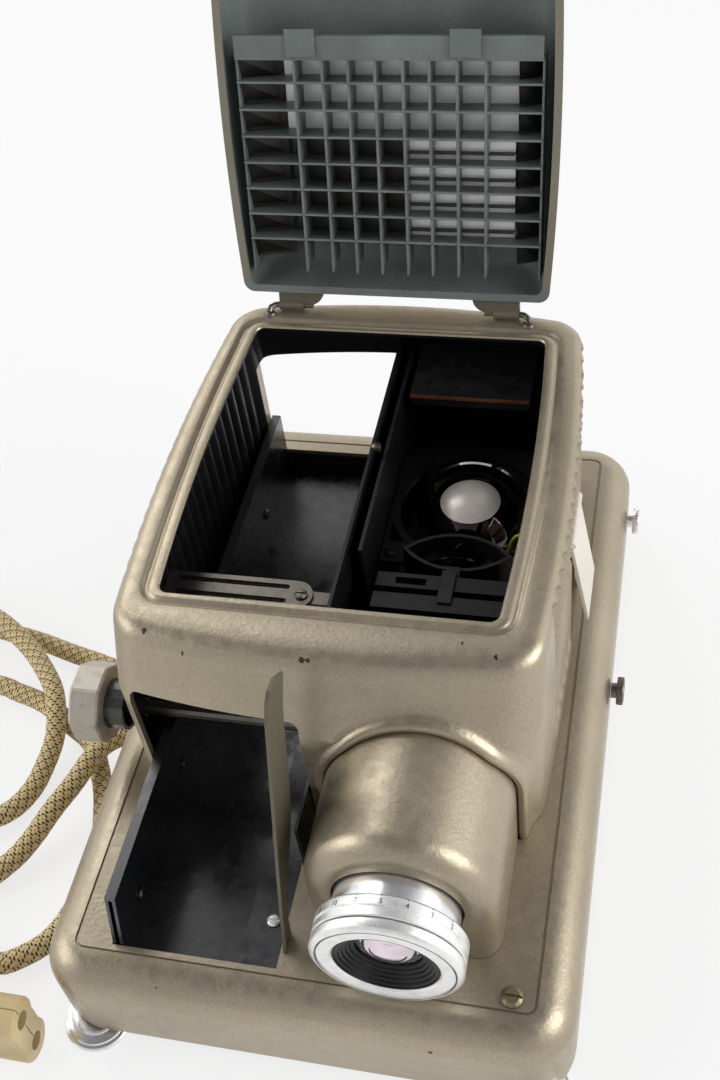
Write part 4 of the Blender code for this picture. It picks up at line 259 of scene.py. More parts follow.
@dataclass(frozen=True)
class SprayedPaint(Finish):
    """Sprayed sheet paint, semi-gloss or matt, with dust, faint streaks and scuffs along its use."""

    cloud_mm: float = 25.0
    gloss_mm: float = 6.0
    line_mm: float = 1.1
    dust_mm: float = 0.7
    peel_mm: float = 1.5
    peel_depth_mm: float = 0.02
    scuff: str = "55585a"
    scuff_share: float = 0.16
    streak: Point = (1.0, 0.12, 1.0)

    def pattern(self, tree: bpy.types.NodeTree, shader: bpy.types.Node, place: bpy.types.NodeSocket) -> None:
        """Lay the scuffs as thin streaks, and an orange-peel dimple under the gloss."""
        dark, light = tones(self.colour, 0.18)
        colour = blend_colour(tree, clouds(tree, place, self.cloud_mm, 0.0, 1.0), dark, light)
        lines = clouds(tree, place, self.line_mm, -3.0 * self.scuff_share, self.scuff_share, self.streak)
        for marks in (lines, clouds(tree, place, self.dust_mm, -0.30, 0.10)):
            shown = add_node(tree, "ShaderNodeMath", {"operation": 'MAXIMUM', 1: 0.0}, {0: marks})
            colour = blend_colour(tree, shown.outputs[0], colour, linear(self.scuff))
        tree.links.new(colour, shader.inputs["Base Color"])
        tree.links.new(clouds(tree, place, self.gloss_mm, self.roughness - 0.05, self.roughness + 0.10),
                       shader.inputs["Roughness"])
        relief(tree, shader, clouds(tree, place, self.peel_mm, 0.0, 1.0), self.peel_depth_mm, 0.5)


@dataclass(frozen=True)
class BareMetal(Finish):
    """Metal without paint, plated, turned, rolled or brushed: fine lines along its working direction."""

    line_mm: float = 0.25
    line_depth_mm: float = 0.006
    stain_mm: float = 3.5
    run: Point = (1.0, 1.0, 0.06)
    stain: str = "5a5550"
    stain_share: float = 0.25

    def pattern(self, tree: bpy.types.NodeTree, shader: bpy.types.Node, place: bpy.types.NodeSocket) -> None:
        """Draw the working lines, finer than the eye parts them, and a little tarnish."""
        stained = clouds(tree, place, self.stain_mm, -self.stain_share, self.stain_share)
        shown = add_node(tree, "ShaderNodeMath", {"operation": 'MAXIMUM', 1: 0.0}, {0: stained})
        tree.links.new(blend_colour(tree, shown.outputs[0], linear(self.colour), linear(self.stain)),
                       shader.inputs["Base Color"])
        lines = clouds(tree, place, self.line_mm, 0.0, 1.0, self.run)
        spread = add_node(tree, "ShaderNodeMapRange",
                          {1: 0.0, 2: 1.0, 3: self.roughness * 0.8, 4: self.roughness * 1.3}, {0: lines})
        tree.links.new(spread.outputs[0], shader.inputs["Roughness"])
        relief(tree, shader, lines, self.line_depth_mm, 0.5)


@dataclass(frozen=True)
class ClearGlass(Finish):
    """Blown or ground glass, clear to the eye, with a thin coating that tints its reflections."""

    tint: str = "ffd8e6"
    see_through: float = 1.0
    dust_mm: float = 2.0

    def pattern(self, tree: bpy.types.NodeTree, shader: bpy.types.Node, place: bpy.types.NodeSocket) -> None:
        """Let light through, with faint dust on the surface."""
        shader.inputs["Transmission Weight"].default_value = self.see_through
        shader.inputs["Specular Tint"].default_value = linear(self.tint)
        tree.links.new(clouds(tree, place, self.dust_mm, self.roughness, self.roughness + 0.03),
                       shader.inputs["Roughness"])


@dataclass(frozen=True)
class CottonBraid(Finish):
    """Cotton braid woven round the lead: slanting thread ribs with dark tracer ticks in crossing rows.

    The threads give a soft ribbed sheen, with painted shade in the rib grooves and painted light on the crests,
    and the tracer shows as pairs of short dark dashes.
    """

    tick: str = "2a2418"
    worn: str = "a8905c"
    cloud_mm: float = 14.0
    row_mm: float = 5.4
    girth_mm: float = 28.274
    rib_depth_mm: float = 0.25
    strands: int = 6
    threads: int = 2
    ticks: int = 4

    def pattern(self, tree: bpy.types.NodeTree, shader: bpy.types.Node, place: bpy.types.NodeSocket) -> None:
        """Lay the ribs and the ticks along the lead's own length, from its map in metres."""
        mapped = add_node(tree, "ShaderNodeUVMap", {"uv_map": "UVMap"})
        parts = add_node(tree, "ShaderNodeSeparateXYZ", links={0: mapped.outputs[0]})
        round_it = add_node(tree, "ShaderNodeMath",
                            {"operation": 'MULTIPLY', 1: 1000 / self.girth_mm * self.strands},
                            {0: parts.outputs[0]}).outputs[0]
        along = add_node(tree, "ShaderNodeMath", {"operation": 'MULTIPLY', 1: 1000 / self.row_mm},
                         {0: parts.outputs[1]}).outputs[0]
        ribs = []
        for sign in ('ADD', 'SUBTRACT'):
            slant = add_node(tree, "ShaderNodeMath", {"operation": sign}, {0: round_it, 1: along}).outputs[0]
            fine = add_node(tree, "ShaderNodeMath", {"operation": 'MULTIPLY', 1: 2 * math.pi * self.threads},
                            {0: slant})
            wave = add_node(tree, "ShaderNodeMath", {"operation": 'SINE'}, {0: fine.outputs[0]})
            ribs.append((slant, wave.outputs[0]))
        weave = add_node(tree, "ShaderNodeMath", {"operation": 'MAXIMUM'},
                         {0: ribs[0][1], 1: ribs[1][1]}).outputs[0]
        height = add_node(tree, "ShaderNodeMapRange", {1: -0.6, 2: 1.0, 3: 0.0, 4: 1.0}, {0: weave}).outputs[0]
        # Painted shade and light: the threads are darker in the rib grooves and lighter on their crests.
        dark, light = tones(self.colour, 0.16)
        colour = blend_colour(tree, height, dark, light)
        colour = blend_colour(tree, clouds(tree, place, self.cloud_mm, 0.0, 0.25), colour, linear(self.worn))
        for slant, _ in ribs:
            turn = add_node(tree, "ShaderNodeMath", {"operation": 'FRACT'}, {0: slant}).outputs[0]
            off = add_node(tree, "ShaderNodeMath", {"operation": 'SUBTRACT', 1: 0.5}, {0: turn})
            band = add_node(tree, "ShaderNodeMath", {"operation": 'ABSOLUTE'}, {0: off.outputs[0]}).outputs[0]
            line = add_node(tree, "ShaderNodeMapRange", {1: 0.10, 2: 0.16, 3: 1.0, 4: 0.0},
                            {0: band}).outputs[0]
            dash = add_node(tree, "ShaderNodeMath", {"operation": 'MULTIPLY', 1: float(self.ticks)},
                            {0: along})
            over = add_node(tree, "ShaderNodeMath", {"operation": 'FRACT'}, {0: dash.outputs[0]})
            gap = add_node(tree, "ShaderNodeMapRange", {1: 0.50, 2: 0.58, 3: 1.0, 4: 0.0},
                           {0: over.outputs[0]}).outputs[0]
            mark = add_node(tree, "ShaderNodeMath", {"operation": 'MULTIPLY'}, {0: line, 1: gap}).outputs[0]
            colour = blend_colour(tree, mark, colour, linear(self.tick))
        tree.links.new(colour, shader.inputs["Base Color"])
        shader.inputs["Sheen Weight"].default_value = 0.3
        relief(tree, shader, height, self.rib_depth_mm, 0.9)


# Chips in the enamel: place about the base's middle, and size, in metres.
CHIPS = ((-0.0632, -0.0525, 0.1369, 0.0011), (-0.0480, -0.0581, 0.1331, 0.0007),
         (-0.0034, -0.0582, 0.1364, 0.0012),
         (-0.0016, -0.0582, 0.1364, 0.0010), (0.0510, -0.0459, 0.1385, 0.0006),
         (0.0629, -0.0501, 0.1380, 0.0008),
         (0.0790, -0.1440, 0.0440, 0.0010), (-0.0500, -0.1440, 0.0460, 0.0008),
         (0.0500, -0.1485, 0.0380, 0.0009))


class Coat(Enum):
    """Every finish on the projector, by the record's slots."""

    # Metal pigment in a sprayed film: beige, soft highlights, darker where it turns to dark surroundings.
    ENAMEL = HammerEnamel("hammer_enamel_sprayed", "enamel", "b1a590", 0.77, 0.37, chips=CHIPS)
    # Thick stoved black: mirror-like at low angles, with bluish dust and rub marks from the magazines.
    BLACK = SprayedPaint("black_enamel_stoved", "black_paint", "0c0e12", 0.0, 0.24, ior=1.9, scuff="2b2e33",
                         scuff_share=0.08)
    # Matt black that swallows stray light, so the inside falls away.
    INNER = SprayedPaint("matt_black_sprayed", "inner_black", "070709", 0.0, 0.45, scuff="2a282e",
                         scuff_share=0.06)
    # Olive pigment on handled sheet, a little glossy, painted darker than the housing: painted shade of the side
    # faces of the guide blade and the hinge lugs.
    OLIVE_PAINTED_SHADE = HammerEnamel("olive_enamel_painted_shade", "olive_paint", "6b6555", 0.30, 0.42, shade="443f32")
    # Grey sheet paint: even and cool, with pale handling marks.
    LID_GREY = SprayedPaint("grey_paint_sprayed", "lid_grey", "6b7270", 0.10, 0.38, scuff="9aa09e",
                            scuff_share=0.25)
    # Old chrome: bright bands with edges a little blurred.
    CHROME = BareMetal("chrome_plated", "chrome", "f4f4f5", 0.88, 0.20, line_mm=0.3, stain_share=0.10)
    # Turned aluminium: pale, with highlights drawn out by the tool's fine lines.
    SATIN = BareMetal("aluminium_turned", "satin_metal", "f2f2f0", 0.80, 0.34, line_mm=0.18,
                      run=(1.0, 0.05, 1.0),
                      stain_share=0.12)
    # Rolled steel, oiled and browned: dull, darker than chrome.
    STEEL = BareMetal("steel_rolled", "steel", "77726a", 1.0, 0.36, stain="4a4540", stain_share=0.35)
    # Near-white sheet behind the dark cells: a painted reflection of their metal backs.
    PAINTED_REFLECTION_SHEET = BareMetal("sheet_painted_reflection", "steel", "ffffff", 0.25, 0.35, stain="c4c8c8", stain_share=0.10)
    # Grey anodised film: soft and warm, handled darker.
    KNOB = BareMetal("aluminium_anodised_grey", "knob_grey", "b9b2a6", 0.55, 0.42, stain="6c665e",
                     stain_share=0.3)
    # Ground and polished glass: clear, seen by its reflections.
    GLASS = ClearGlass("optical_glass_coated", "glass", "f4f4f6", 0.0, 0.02, ior=1.52)
    # Blown lamp glass: thin and smoky, with sharp curved glints.
    BULB = ClearGlass("lamp_glass_blown", "glass", "b8b8ba", 0.0, 0.03, ior=1.47)
    # Silver behind the lamp's crown: milky and bright.
    SILVER = BareMetal("silvered_glass", "mirror_silver", "fff6ea", 0.35, 0.36, line_mm=1.5,
                       run=(1.0, 1.0, 1.0),
                       stain_share=0.12)
    # The front glass's coating over a dark barrel: a pinkish mirror.
    COATED = Finish("front_glass_coated", "glass", "e2d3dc", 0.85, 0.03)
    # Polished reflector: shows the lamp and the dark house.
    MIRROR = BareMetal("mirror_polished", "mirror_silver", "d8d8d8", 1.0, 0.06, line_mm=1.5,
                       run=(1.0, 1.0, 1.0))
    # Blackened steel: dark grey with soft metal edges.
    DARK = BareMetal("steel_blackened", "steel", "413f3d", 0.9, 0.42, stain="262422", stain_share=0.3)
    # Old brass screw: dull yellow, spotted.
    BRASS = BareMetal("brass_tarnished", "steel", "8f8468", 0.9, 0.42, stain="5b5340", stain_share=0.35)
    # Steel edge browned by the lamp's heat: a copper-red line.
    COPPER = BareMetal("steel_heat_browned", "steel", "9a5f40", 0.8, 0.45, stain="4a2c1e", stain_share=0.4)
    # Enamel worn at the lid's rim: duller and greyer than the rest.
    EDGE = HammerEnamel("edge_enamel_worn", "enamel", "847f70", 0.35, 0.42, shade="5d5848")
    # Pressed bakelite: near black and shiny, faintly scuffed.
    BAKELITE = SprayedPaint("bakelite_moulded", "bakelite", "100d0b", 0.0, 0.25, scuff="3a3330",
                            scuff_share=0.1)
    # Beige thermoset: waxy, with brown handling stains.
    BEIGE = SprayedPaint("beige_thermoset_moulded", "beige_moulding", "c9b486", 0.0, 0.38, scuff="8d7a52",
                         scuff_share=0.3, streak=(1.0, 1.0, 1.0))
    # Woven cotton: straw-coloured ribs with dark tracer ticks.
    BRAID = CottonBraid("cotton_braid", "braid", "dcc592", 0.0, 0.85)
    # Extruded sleeve: plain yellow-green, softly shiny.
    WIRE = Finish("wire_sleeve_extruded", "wire_insulation", "a0a838", 0.0, 0.45)
    # Enamel on the flap, painted almost white: a painted reflection of the bright light that the flap catches.
    PAINTED_REFLECTION_ENAMEL = HammerEnamel("enamel_painted_reflection", "enamel", "d9d4c8", 0.2, 0.45, shade="b0a894")
    # Moulded rubber: dull black.
    RUBBER = Finish("rubber_moulded", "rubber", "161616", 0.0, 0.8)


# Mesh tools


def closed_mesh(bm: bmesh.types.BMesh, name: str, sharp: float = 32.0) -> bpy.types.Mesh:
    """Close a working mesh: faces out, smooth shading, edges sharper than an angle kept sharp.

    Args:
        bm: the working mesh, freed here.
        name: the new mesh's name.
        sharp: angle in degrees.

    Returns:
        The mesh.
    """
    bmesh.ops.remove_doubles(bm, verts=bm.verts, dist=WELD)
    bmesh.ops.recalc_face_normals(bm, faces=bm.faces)
    for face in bm.faces:
        face.smooth = True
    mesh = bpy.data.meshes.new(name)
    bm.to_mesh(mesh)
    bm.free()
    mesh.set_sharp_from_angle(angle=math.radians(sharp))
    return mesh


def skin(bm: bmesh.types.BMesh, rings: Sequence[Sequence[Point]], capped: bool = False, closed: bool = False,
         inner_from: Optional[int] = None) -> None:
    """Skin a row of rings that have equal point counts.

    Args:
        bm: the mesh that takes the faces.
        rings: the rings in order.
        capped: whether the first and the last ring are closed by a face.
        closed: whether the last ring joins the first.
        inner_from: from this ring on, if given, the faces take the second material.
    """
    rows = [[bm.verts.new(point) for point in ring] for ring in rings]
    pairs = list(zip(rows, rows[1:])) + ([(rows[-1], rows[0])] if closed else [])
    for index, (first, second) in enumerate(pairs):
        for i in range(len(first)):
            j = (i + 1) % len(first)
            face = bm.faces.new((first[i], first[j], second[j], second[i]))
            face.material_index = int(inner_from is not None and index >= inner_from)
    if capped:
        bm.faces.new(list(reversed(rows[0])))
        bm.faces.new(rows[-1])


def prism(bm: bmesh.types.BMesh, outline: Sequence[tuple[float, float]], low: float, high: float,
          axis: str = "x") -> None:
    """Add a body that keeps one outline all along an axis.

    Args:
        bm: the mesh that takes it.
        outline: its points in the other two coordinates, in their order.
        low: where it starts on the axis.
        high: where it ends.
        axis: x, y or z.
    """
    at = "xyz".index(axis)
    skin(bm, [[(*point[:at], level, *point[at:]) for point in outline] for level in (low, high)], capped=True)


def hollow(bm: bmesh.types.BMesh, outer: Sequence[Sequence[Point]], inner: Sequence[Sequence[Point]]) -> int:
    """Skin a cap's outer rings and inner rings, close both tops and join them round the foot.

    Args:
        bm: the mesh that takes the faces.
        outer: rings from the foot to the top.
        inner: rings from the top back to the foot.

    Returns:
        How many points the outer skin has.
    """
    skin(bm, outer)
    skin(bm, inner)
    bm.verts.ensure_lookup_table()
    bm.verts.index_update()
    count = len(outer[0])
    total, end = len(outer) * count, len(bm.verts) - count
    bm.faces.new(bm.verts[total - count:total])
    bm.faces.new(list(reversed(bm.verts[total:total + count])))
    for i in range(count):
        j = (i + 1) % count
        bm.faces.new((bm.verts[j], bm.verts[i], bm.verts[end + i], bm.verts[end + j]))
    return total


def arc(centre: tuple[float, float], radius: float, start: float, stop: float,
        count: int) -> list[tuple[float, float]]:
    """Return count + 1 points on an arc, angles in radians."""
    return [(centre[0] + radius * math.cos(start + (stop - start) * k / count),
             centre[1] + radius * math.sin(start + (stop - start) * k / count)) for k in range(count + 1)]


def dome(radius: float, start: float, stop: float, count: int,
         height: float = 0.0) -> list[tuple[float, float]]:
    """Return (radius, height) points of a ball's profile, angles in radians from its pole."""
    return [(radius * math.sin(a), height + radius * math.cos(a))
            for a in (start + (stop - start) * k / count for k in range(count + 1))]


def eased(value: float, low: float, high: float) -> float:
    """Return how far a value has come from low to high, as a share that starts and ends gently."""
    share = min(max((value - low) / (high - low), 0.0), 1.0)
    return share * share * (3 - 2 * share)


def through(rows: Sequence[Sequence[float]], count: int) -> list[list[float]]:
    """Lay a smooth curve through rows of values.

    Args:
        rows: the values at each stop.
        count: steps from one stop to the next.

    Returns:
        The finer rows, with the last stop at their end.
    """
    fine = []
    for i in range(len(rows) - 1):
        quad = [rows[min(max(i + o, 0), len(rows) - 1)] for o in (-1, 0, 1, 2)]
        for k in range(count):
            t = k / count
            fine.append([0.5 * (2 * b + (c - a) * t + (2 * a - 5 * b + 4 * c - d) * t * t
                                + (3 * b - a - 3 * c + d) * t ** 3) for a, b, c, d in zip(*quad)])
    fine.append(list(rows[-1]))
    return fine


def plan_ring(half_x: float, front: float, rear: float, corner: float, z: float, bow_x: float = 0.0,
              bow_y: float = 0.0, taper: float = 0.0, middle: float = 0.0, facets: int = 9,
              runs: tuple[int, int] = (12, 12)) -> list[Point]:
    """Return a rounded rectangle seen from above, its sides bowed and narrowed to the rear if asked.

    Args:
        half_x: half the width.
        front: y of the front.
        rear: y of the rear.
        corner: corner radius.
        z: level.
        bow_x: how far the sides draw in at their ends, as a share of the width.
        bow_y: how far front and rear draw in at their ends, as a share of the depth.
        taper: how far the sides draw in to the rear, as a share of the width.
        middle: x of the middle.
        facets: faces per corner.
        runs: pieces along each side, and along front and rear.

    Returns:
        The ring's points.
    """
    half_y, centre = (rear - front) / 2, (rear + front) / 2
    corner = max(corner, LEAST_CORNER)
    rounds = [arc((sx * (half_x - corner), sy * (half_y - corner)), corner, start, start + math.pi / 2, facets)
              for sx, sy, start in ((1, -1, -math.pi / 2), (1, 1, 0.0), (-1, 1, math.pi / 2),
                                    (-1, -1, math.pi))]
    points = []
    for index, here in enumerate(rounds):
        (x0, y0), (x1, y1) = here[-1], rounds[(index + 1) % 4][0]
        count = runs[index % 2]
        points += here
        points += [(x0 + (x1 - x0) * k / count, y0 + (y1 - y0) * k / count) for k in range(1, count)]
    ring = []
    for x, y in points:
        tx, ty = x / half_x, y / half_y
        ring.append((middle + x * (1 - bow_x * ty * ty - taper * ty), centre + y * (1 - bow_y * tx * tx), z))
    return ring


def box_mesh(low: Point, high: Point, bm: Optional[bmesh.types.BMesh] = None) -> bmesh.types.BMesh:
    """Add a box between two corners to a working mesh, a new one if none is given."""
    bm = bm or bmesh.new()
    size = [h - l for l, h in zip(low, high)]
    middle = [(l + h) / 2 for l, h in zip(low, high)]
    bmesh.ops.create_cube(bm, size=1.0, matrix=Matrix.Translation(middle) @ Matrix.Diagonal((*size, 1.0)))
    return bm


def axis_turn(axis: str) -> Matrix:
    """Return the turn that lays the Z axis along another axis."""
    return {"x": Matrix.Rotation(math.pi / 2, 4, 'Y'), "y": Matrix.Rotation(-math.pi / 2, 4, 'X'),
            "z": Matrix.Identity(4)}[axis]


def cutter_mesh(bm: bmesh.types.BMesh) -> bpy.types.Mesh:
    """Close a working mesh that cuts another."""
    return closed_mesh(bm, "cutter")


def cut_box(low: Point, high: Point) -> bpy.types.Mesh:
    """Return a box between two corners that cuts another mesh."""
    return cutter_mesh(box_mesh(low, high))


def revolve(profile: Sequence[tuple[float, float]], place: Point, axis: str = "z", facets: int = 72,
            name: str = "turned", inner: Iterable[int] = (), sharp: float = 28.0) -> bpy.types.Mesh:
    """Turn a closed profile about an axis.

    Args:
        profile: (radius, height) points in order; the last joins the first.
        place: where the axis starts.
        axis: x, y or z.
        facets: faces round the axis.
        name: the mesh's name.
        inner: numbers of the profile's edges whose faces take the second material.
        sharp: edges sharper than this, in degrees, stay sharp.

    Returns:
        The mesh.
    """
    bm = bmesh.new()
    chosen = set(inner)
    rows = [[bm.verts.new((r * math.cos(2 * math.pi * k / facets), r * math.sin(2 * math.pi * k / facets), h))
             for k in range(facets)] for r, h in profile]
    for index in range(len(rows)):
        first, second = rows[index], rows[(index + 1) % len(rows)]
        if max(profile[index][0], profile[(index + 1) % len(rows)][0]) < WELD / 50:
            continue
        for i in range(facets):
            j = (i + 1) % facets
            face = bm.faces.new((first[i], first[j], second[j], second[i]))
            face.material_index = 1 if index in chosen else 0
    bmesh.ops.dissolve_degenerate(bm, dist=WELD / 10, edges=bm.edges)
    bm.transform(Matrix.Translation(place) @ axis_turn(axis))
    return closed_mesh(bm, name, sharp)


def carve(mesh: bpy.types.Mesh, cutters: Sequence[bpy.types.Mesh],
          coats: Sequence[Coat] = ()) -> bpy.types.Mesh:
    """Cut bodies out of a mesh.

    Args:
        mesh: the mesh that is cut.
        cutters: closed meshes that are taken away, removed afterwards.
        coats: the mesh's finishes by material number, where it has more than one.

    Returns:
        The cut mesh.
    """
    for coat in coats:
        mesh.materials.append(coat.value.make())
    collection = bpy.context.scene.collection
    item = bpy.data.objects.new("carving", mesh)
    collection.objects.link(item)
    tools = []
    for cutter in cutters:
        tool = bpy.data.objects.new("cutter", cutter)
        collection.objects.link(tool)
        tools.append(tool)
        step = item.modifiers.new("cut", 'BOOLEAN')
        step.object, step.operation, step.solver = tool, 'DIFFERENCE', 'EXACT'
    graph = bpy.context.evaluated_depsgraph_get()
    result = bpy.data.meshes.new_from_object(item.evaluated_get(graph), depsgraph=graph)
    for thing in [item] + tools:
        bpy.data.objects.remove(thing)
    result.set_sharp_from_angle(angle=math.radians(32.0))
    return result


def joined(meshes: Sequence[bpy.types.Mesh], name: str) -> bpy.types.Mesh:
    """Put several meshes together as one."""
    bm = bmesh.new()
    for mesh in meshes:
        bm.from_mesh(mesh)
    return closed_mesh(bm, name)


def new_piece(name: str, mesh: bpy.types.Mesh, coats: Sequence[Coat], body: str,
              stands_for: Sequence[str] = (),
              turn: Optional[Matrix] = None) -> bpy.types.Object:
    """Put a finished mesh, drawn about the base's middle, into the scene.

    Args:
        name: the piece's name.
        mesh: its mesh, in metres.
        coats: one finish per material number; the first gives the record's slot.
        body: the body that it rides on.
        stands_for: CAD nodes that it replaces.
        turn: a move of the mesh before it is placed.

    Returns:
        The new object.
    """
    mesh.transform(Matrix.Translation(DATUM) @ (turn or Matrix.Identity(4)))
    for coat in coats[len(mesh.materials):]:
        mesh.materials.append(None)
    for index, coat in enumerate(coats):
        mesh.materials[index] = coat.value.make()
    piece = bpy.data.objects.new(name, mesh)
    bpy.context.scene.collection.objects.link(piece)
    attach(piece, body)
    if stands_for:
        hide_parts(*stands_for)
    LOG.info("made %s", name)
    return piece


def soften(piece: bpy.types.Object, width: float, segments: int = 2, angle: float = 35.0) -> None:
    """Round a piece's edges a little, so that they catch the light."""
    step = piece.modifiers.new("rounded_edges", 'BEVEL')
    step.width, step.segments, step.limit_method, step.angle_limit = width, segments, 'ANGLE', math.radians(angle)
    step.harden_normals = False


def dress(coat: Coat, *nodes: str, edge: float = 0.0) -> None:
    """Give CAD nodes a finish, and round their edges a little if asked.

    Args:
        coat: the finish.
        nodes: the nodes' names.
        edge: width of the rounding in metres.
    """
    for node in nodes:
        item = bpy.data.objects[node]
        for slot in item.material_slots:
            slot.material = coat.value.make()
        if edge:
            soften(item, edge)
        LOG.info("dressed %s", node)


def smooth_path(route: Sequence[Point], count: int) -> list[Vector]:
    """Space points evenly on a smooth curve through a route.

    Args:
        route: the route's own points.
        count: how many points come back.

    Returns:
        The evenly spaced points.
    """
    fine = [Vector(point) for point in through(route, 12)]
    lengths = [0.0]
    for a, b in zip(fine, fine[1:]):
        lengths.append(lengths[-1] + (b - a).length)
    result, index = [], 0
    for k in range(count):
        target = lengths[-1] * k / (count - 1)
        while index < len(lengths) - 2 and lengths[index + 1] < target:
            index += 1
        span = lengths[index + 1] - lengths[index]
        share = min(max((target - lengths[index]) / span, 0), 1)
        result.append(fine[index].lerp(fine[index + 1], share))
    return result


def tube_mesh(name: str, points: Sequence[Vector], radius: float, facets: int,
              swell: Optional[Callable[[float], float]] = None) -> bpy.types.Mesh:
    """Wrap a round tube about a path, with a map of its length and girth in metres.

    Args:
        name: the mesh's name.
        points: the path.
        radius: the tube's radius.
        facets: faces round the girth.
        swell: gives a factor on the radius for a share of the length, if asked.

    Returns:
        The closed mesh.
    """
    bm = bmesh.new()
    layer = bm.loops.layers.uv.new("UVMap")
    ways = [(points[min(i + 1, len(points) - 1)] - points[max(i - 1,
                                                              0)]).normalized() for i in range(len(points))]
    side = ways[0].orthogonal().normalized()
    rings, runs = [], [0.0]
    for i, (point, way) in enumerate(zip(points, ways)):
        side = (side - way * side.dot(way)).normalized()
        up = side.cross(way)
        reach = radius * (swell(i / (len(points) - 1)) if swell else 1.0)
        rings.append([bm.verts.new(point + (side * math.cos(a) + up * math.sin(a)) * reach)
                      for a in (2 * math.pi * k / facets for k in range(facets))])
        if i:
            runs.append(runs[-1] + (point - points[i - 1]).length)
    girth = 2 * math.pi * radius
    for i in range(len(rings) - 1):
        for k in range(facets):
            n = (k + 1) % facets
            face = bm.faces.new((rings[i][k], rings[i + 1][k], rings[i + 1][n], rings[i][n]))
            for loop, (u, v) in zip(face.loops, ((k, i), (k, i + 1), (k + 1, i + 1), (k + 1, i))):
                loop[layer].uv = (u / facets * girth, runs[v])
    bm.faces.new(rings[0])
    bm.faces.new(list(reversed(rings[-1])))
    return closed_mesh(bm, name, 60.0)


# Sub-assemblies


@dataclass
class Base:
    """The cast base with its groove, lip line, feet, screws and mains inlet."""

    half_x: float = 0.099
    half_y: float = 0.149
    top: float = 0.050
    foot: float = 0.0085
    corner: float = 0.020
    roll: float = 0.0135
    wall: float = 0.0022
    lip: float = 0.0005
    lip_z: float = 0.0128
    lip_height: float = 0.0006
    shoulder: float = 0.001
    groove: tuple[float, float] = (0.085, 0.135)
    groove_half: float = 0.0006
    groove_depth: float = 0.0008
    groove_corner: float = 0.0035
    track_x: tuple[float, float] = (-0.0707, -0.008)
    track_y: tuple[float, float] = (-0.1323, 0.129)
    track_z: tuple[float, float] = (0.036, 0.06)
    inlet: tuple[Point, Point] = ((0.0397, 0.14, 0.0167), (0.0703, 0.16, 0.0353))
    feet: tuple[float, float] = (0.085, -0.1423)
    wheel: float = 0.0134
    wheel_height: float = 0.006
    wheel_stem: float = 0.0025
    wheel_shares: tuple[tuple[float, float], ...] = (
        (0.55, 1.0), (0.60, 0.93), (0.62, 0.80), (0.80, 0.76), (0.86, 0.70), (0.88, 0.56), (0.96, 0.52),
        (1.0, 0.42),
        (1.0, 0.14), (0.96, 0.0), (0.34, 0.0), (0.34, 0.25))
    thumb_level: float = 0.035
    thumb_gap: float = 0.0003
    thumb_rows: tuple[tuple[float, float, float], ...] = (
        (0.0, 0.0055, 0.0), (0.0042, 0.0055, 0.0), (0.0056, 0.0052, 0.0), (0.0059, 0.0049, 0.00022),
        (0.0059, 0.0030, 0.00022), (0.0055, 0.0024, 0.0), (0.0032, 0.0024, 0.0), (0.0032, 0.0, 0.0),
        (0.0, 0.0, 0.0))
    teeth: int = 30

    def ring(self, inset: float, z: float) -> list[Point]:
        """Return the outline drawn in by an inset at a level."""
        return plan_ring(self.half_x - inset, inset - self.half_y, self.half_y - inset, self.corner - inset, z,
                         runs=(4, 4))

    def shell(self) -> None:
        """Build the shell: lip line, skirt, rolled shoulder, groove and openings."""
        rings = [self.ring(self.lip, self.foot), self.ring(self.lip, self.lip_z - self.lip_height),
                 self.ring(0.0, self.lip_z)]
        rings += [self.ring(self.roll - across, self.top - self.roll + rise)
                  for rise, across in dome(self.roll, 0.0, math.pi / 2, 12)]
        inside = [self.ring(self.roll + self.shoulder, self.top - self.wall),
                  self.ring(self.wall, self.top - self.roll), self.ring(self.wall + self.lip, self.foot)]
        bm = bmesh.new()
        hollow(bm, rings, inside)
        (gx, gy), half, low = self.groove, self.groove_half, self.top - self.groove_depth
        over = self.top + OVERRUN
        groove = bmesh.new()
        skin(groove, [plan_ring(gx + o, -gy - o, gy + o, self.groove_corner + o, z, facets=5, runs=(2, 2))
                      for o, z in ((half * 0.4, low), (half * 1.4, over), (-half * 1.4, over),
                                   (-half * 0.4, low))],
             closed=True)
        slot = [tuple(pair[end] for pair in (self.track_x, self.track_y, self.track_z)) for end in (0, 1)]
        mesh = carve(closed_mesh(bm, "base"), [cutter_mesh(groove), cut_box(*slot), cut_box(*self.inlet)])
        new_piece("base_casting", mesh, [Coat.ENAMEL], "base", ["base_shell"])

    def wheels(self) -> None:
        """Build the finger wheels of the two front feet."""
        r, h = self.wheel, self.wheel_height
        profile = [(self.wheel_stem, h)] + [(r * a, h * b) for a, b in self.wheel_shares]
        profile.append((self.wheel_stem, h * self.wheel_shares[-1][1]))
        for side, sign in (("left", -1), ("right", 1)):
            mesh = revolve(profile, (sign * self.feet[0], self.feet[1], 0.0), "z", 72)
            new_piece(f"levelling_wheel_{side}", mesh, [Coat.CHROME], f"foot_{side}_wheel",
                      [f"foot_front_{side}_wheel"])

    def thumbscrew(self, label: str, y: float, coat: Coat) -> None:
        """Build one thumbscrew with its toothed rim.

        Args:
            label: front or rear.
            y: its place along the base's side.
            coat: its finish.
        """
        rows = []
        for radius, level, tooth in self.thumb_rows:
            spokes = [max(radius - tooth * (k % 2), 2 * WELD) for k in range(2 * self.teeth)]
            rows.append([(r * math.cos(math.pi * k / self.teeth), r * math.sin(math.pi * k / self.teeth),
                          level)
                         for k, r in enumerate(spokes)])
        bm = bmesh.new()
        skin(bm, rows, capped=True)
        place = (self.half_x + self.thumb_gap, y, self.thumb_level)
        bm.transform(Matrix.Translation(place) @ axis_turn("x"))
        new_piece(f"knurled_thumbscrew_{label}", closed_mesh(bm, "thumbscrew"), [coat], f"thumbscrew_{label}",
                  [f"side_thumbscrew_{label}"])

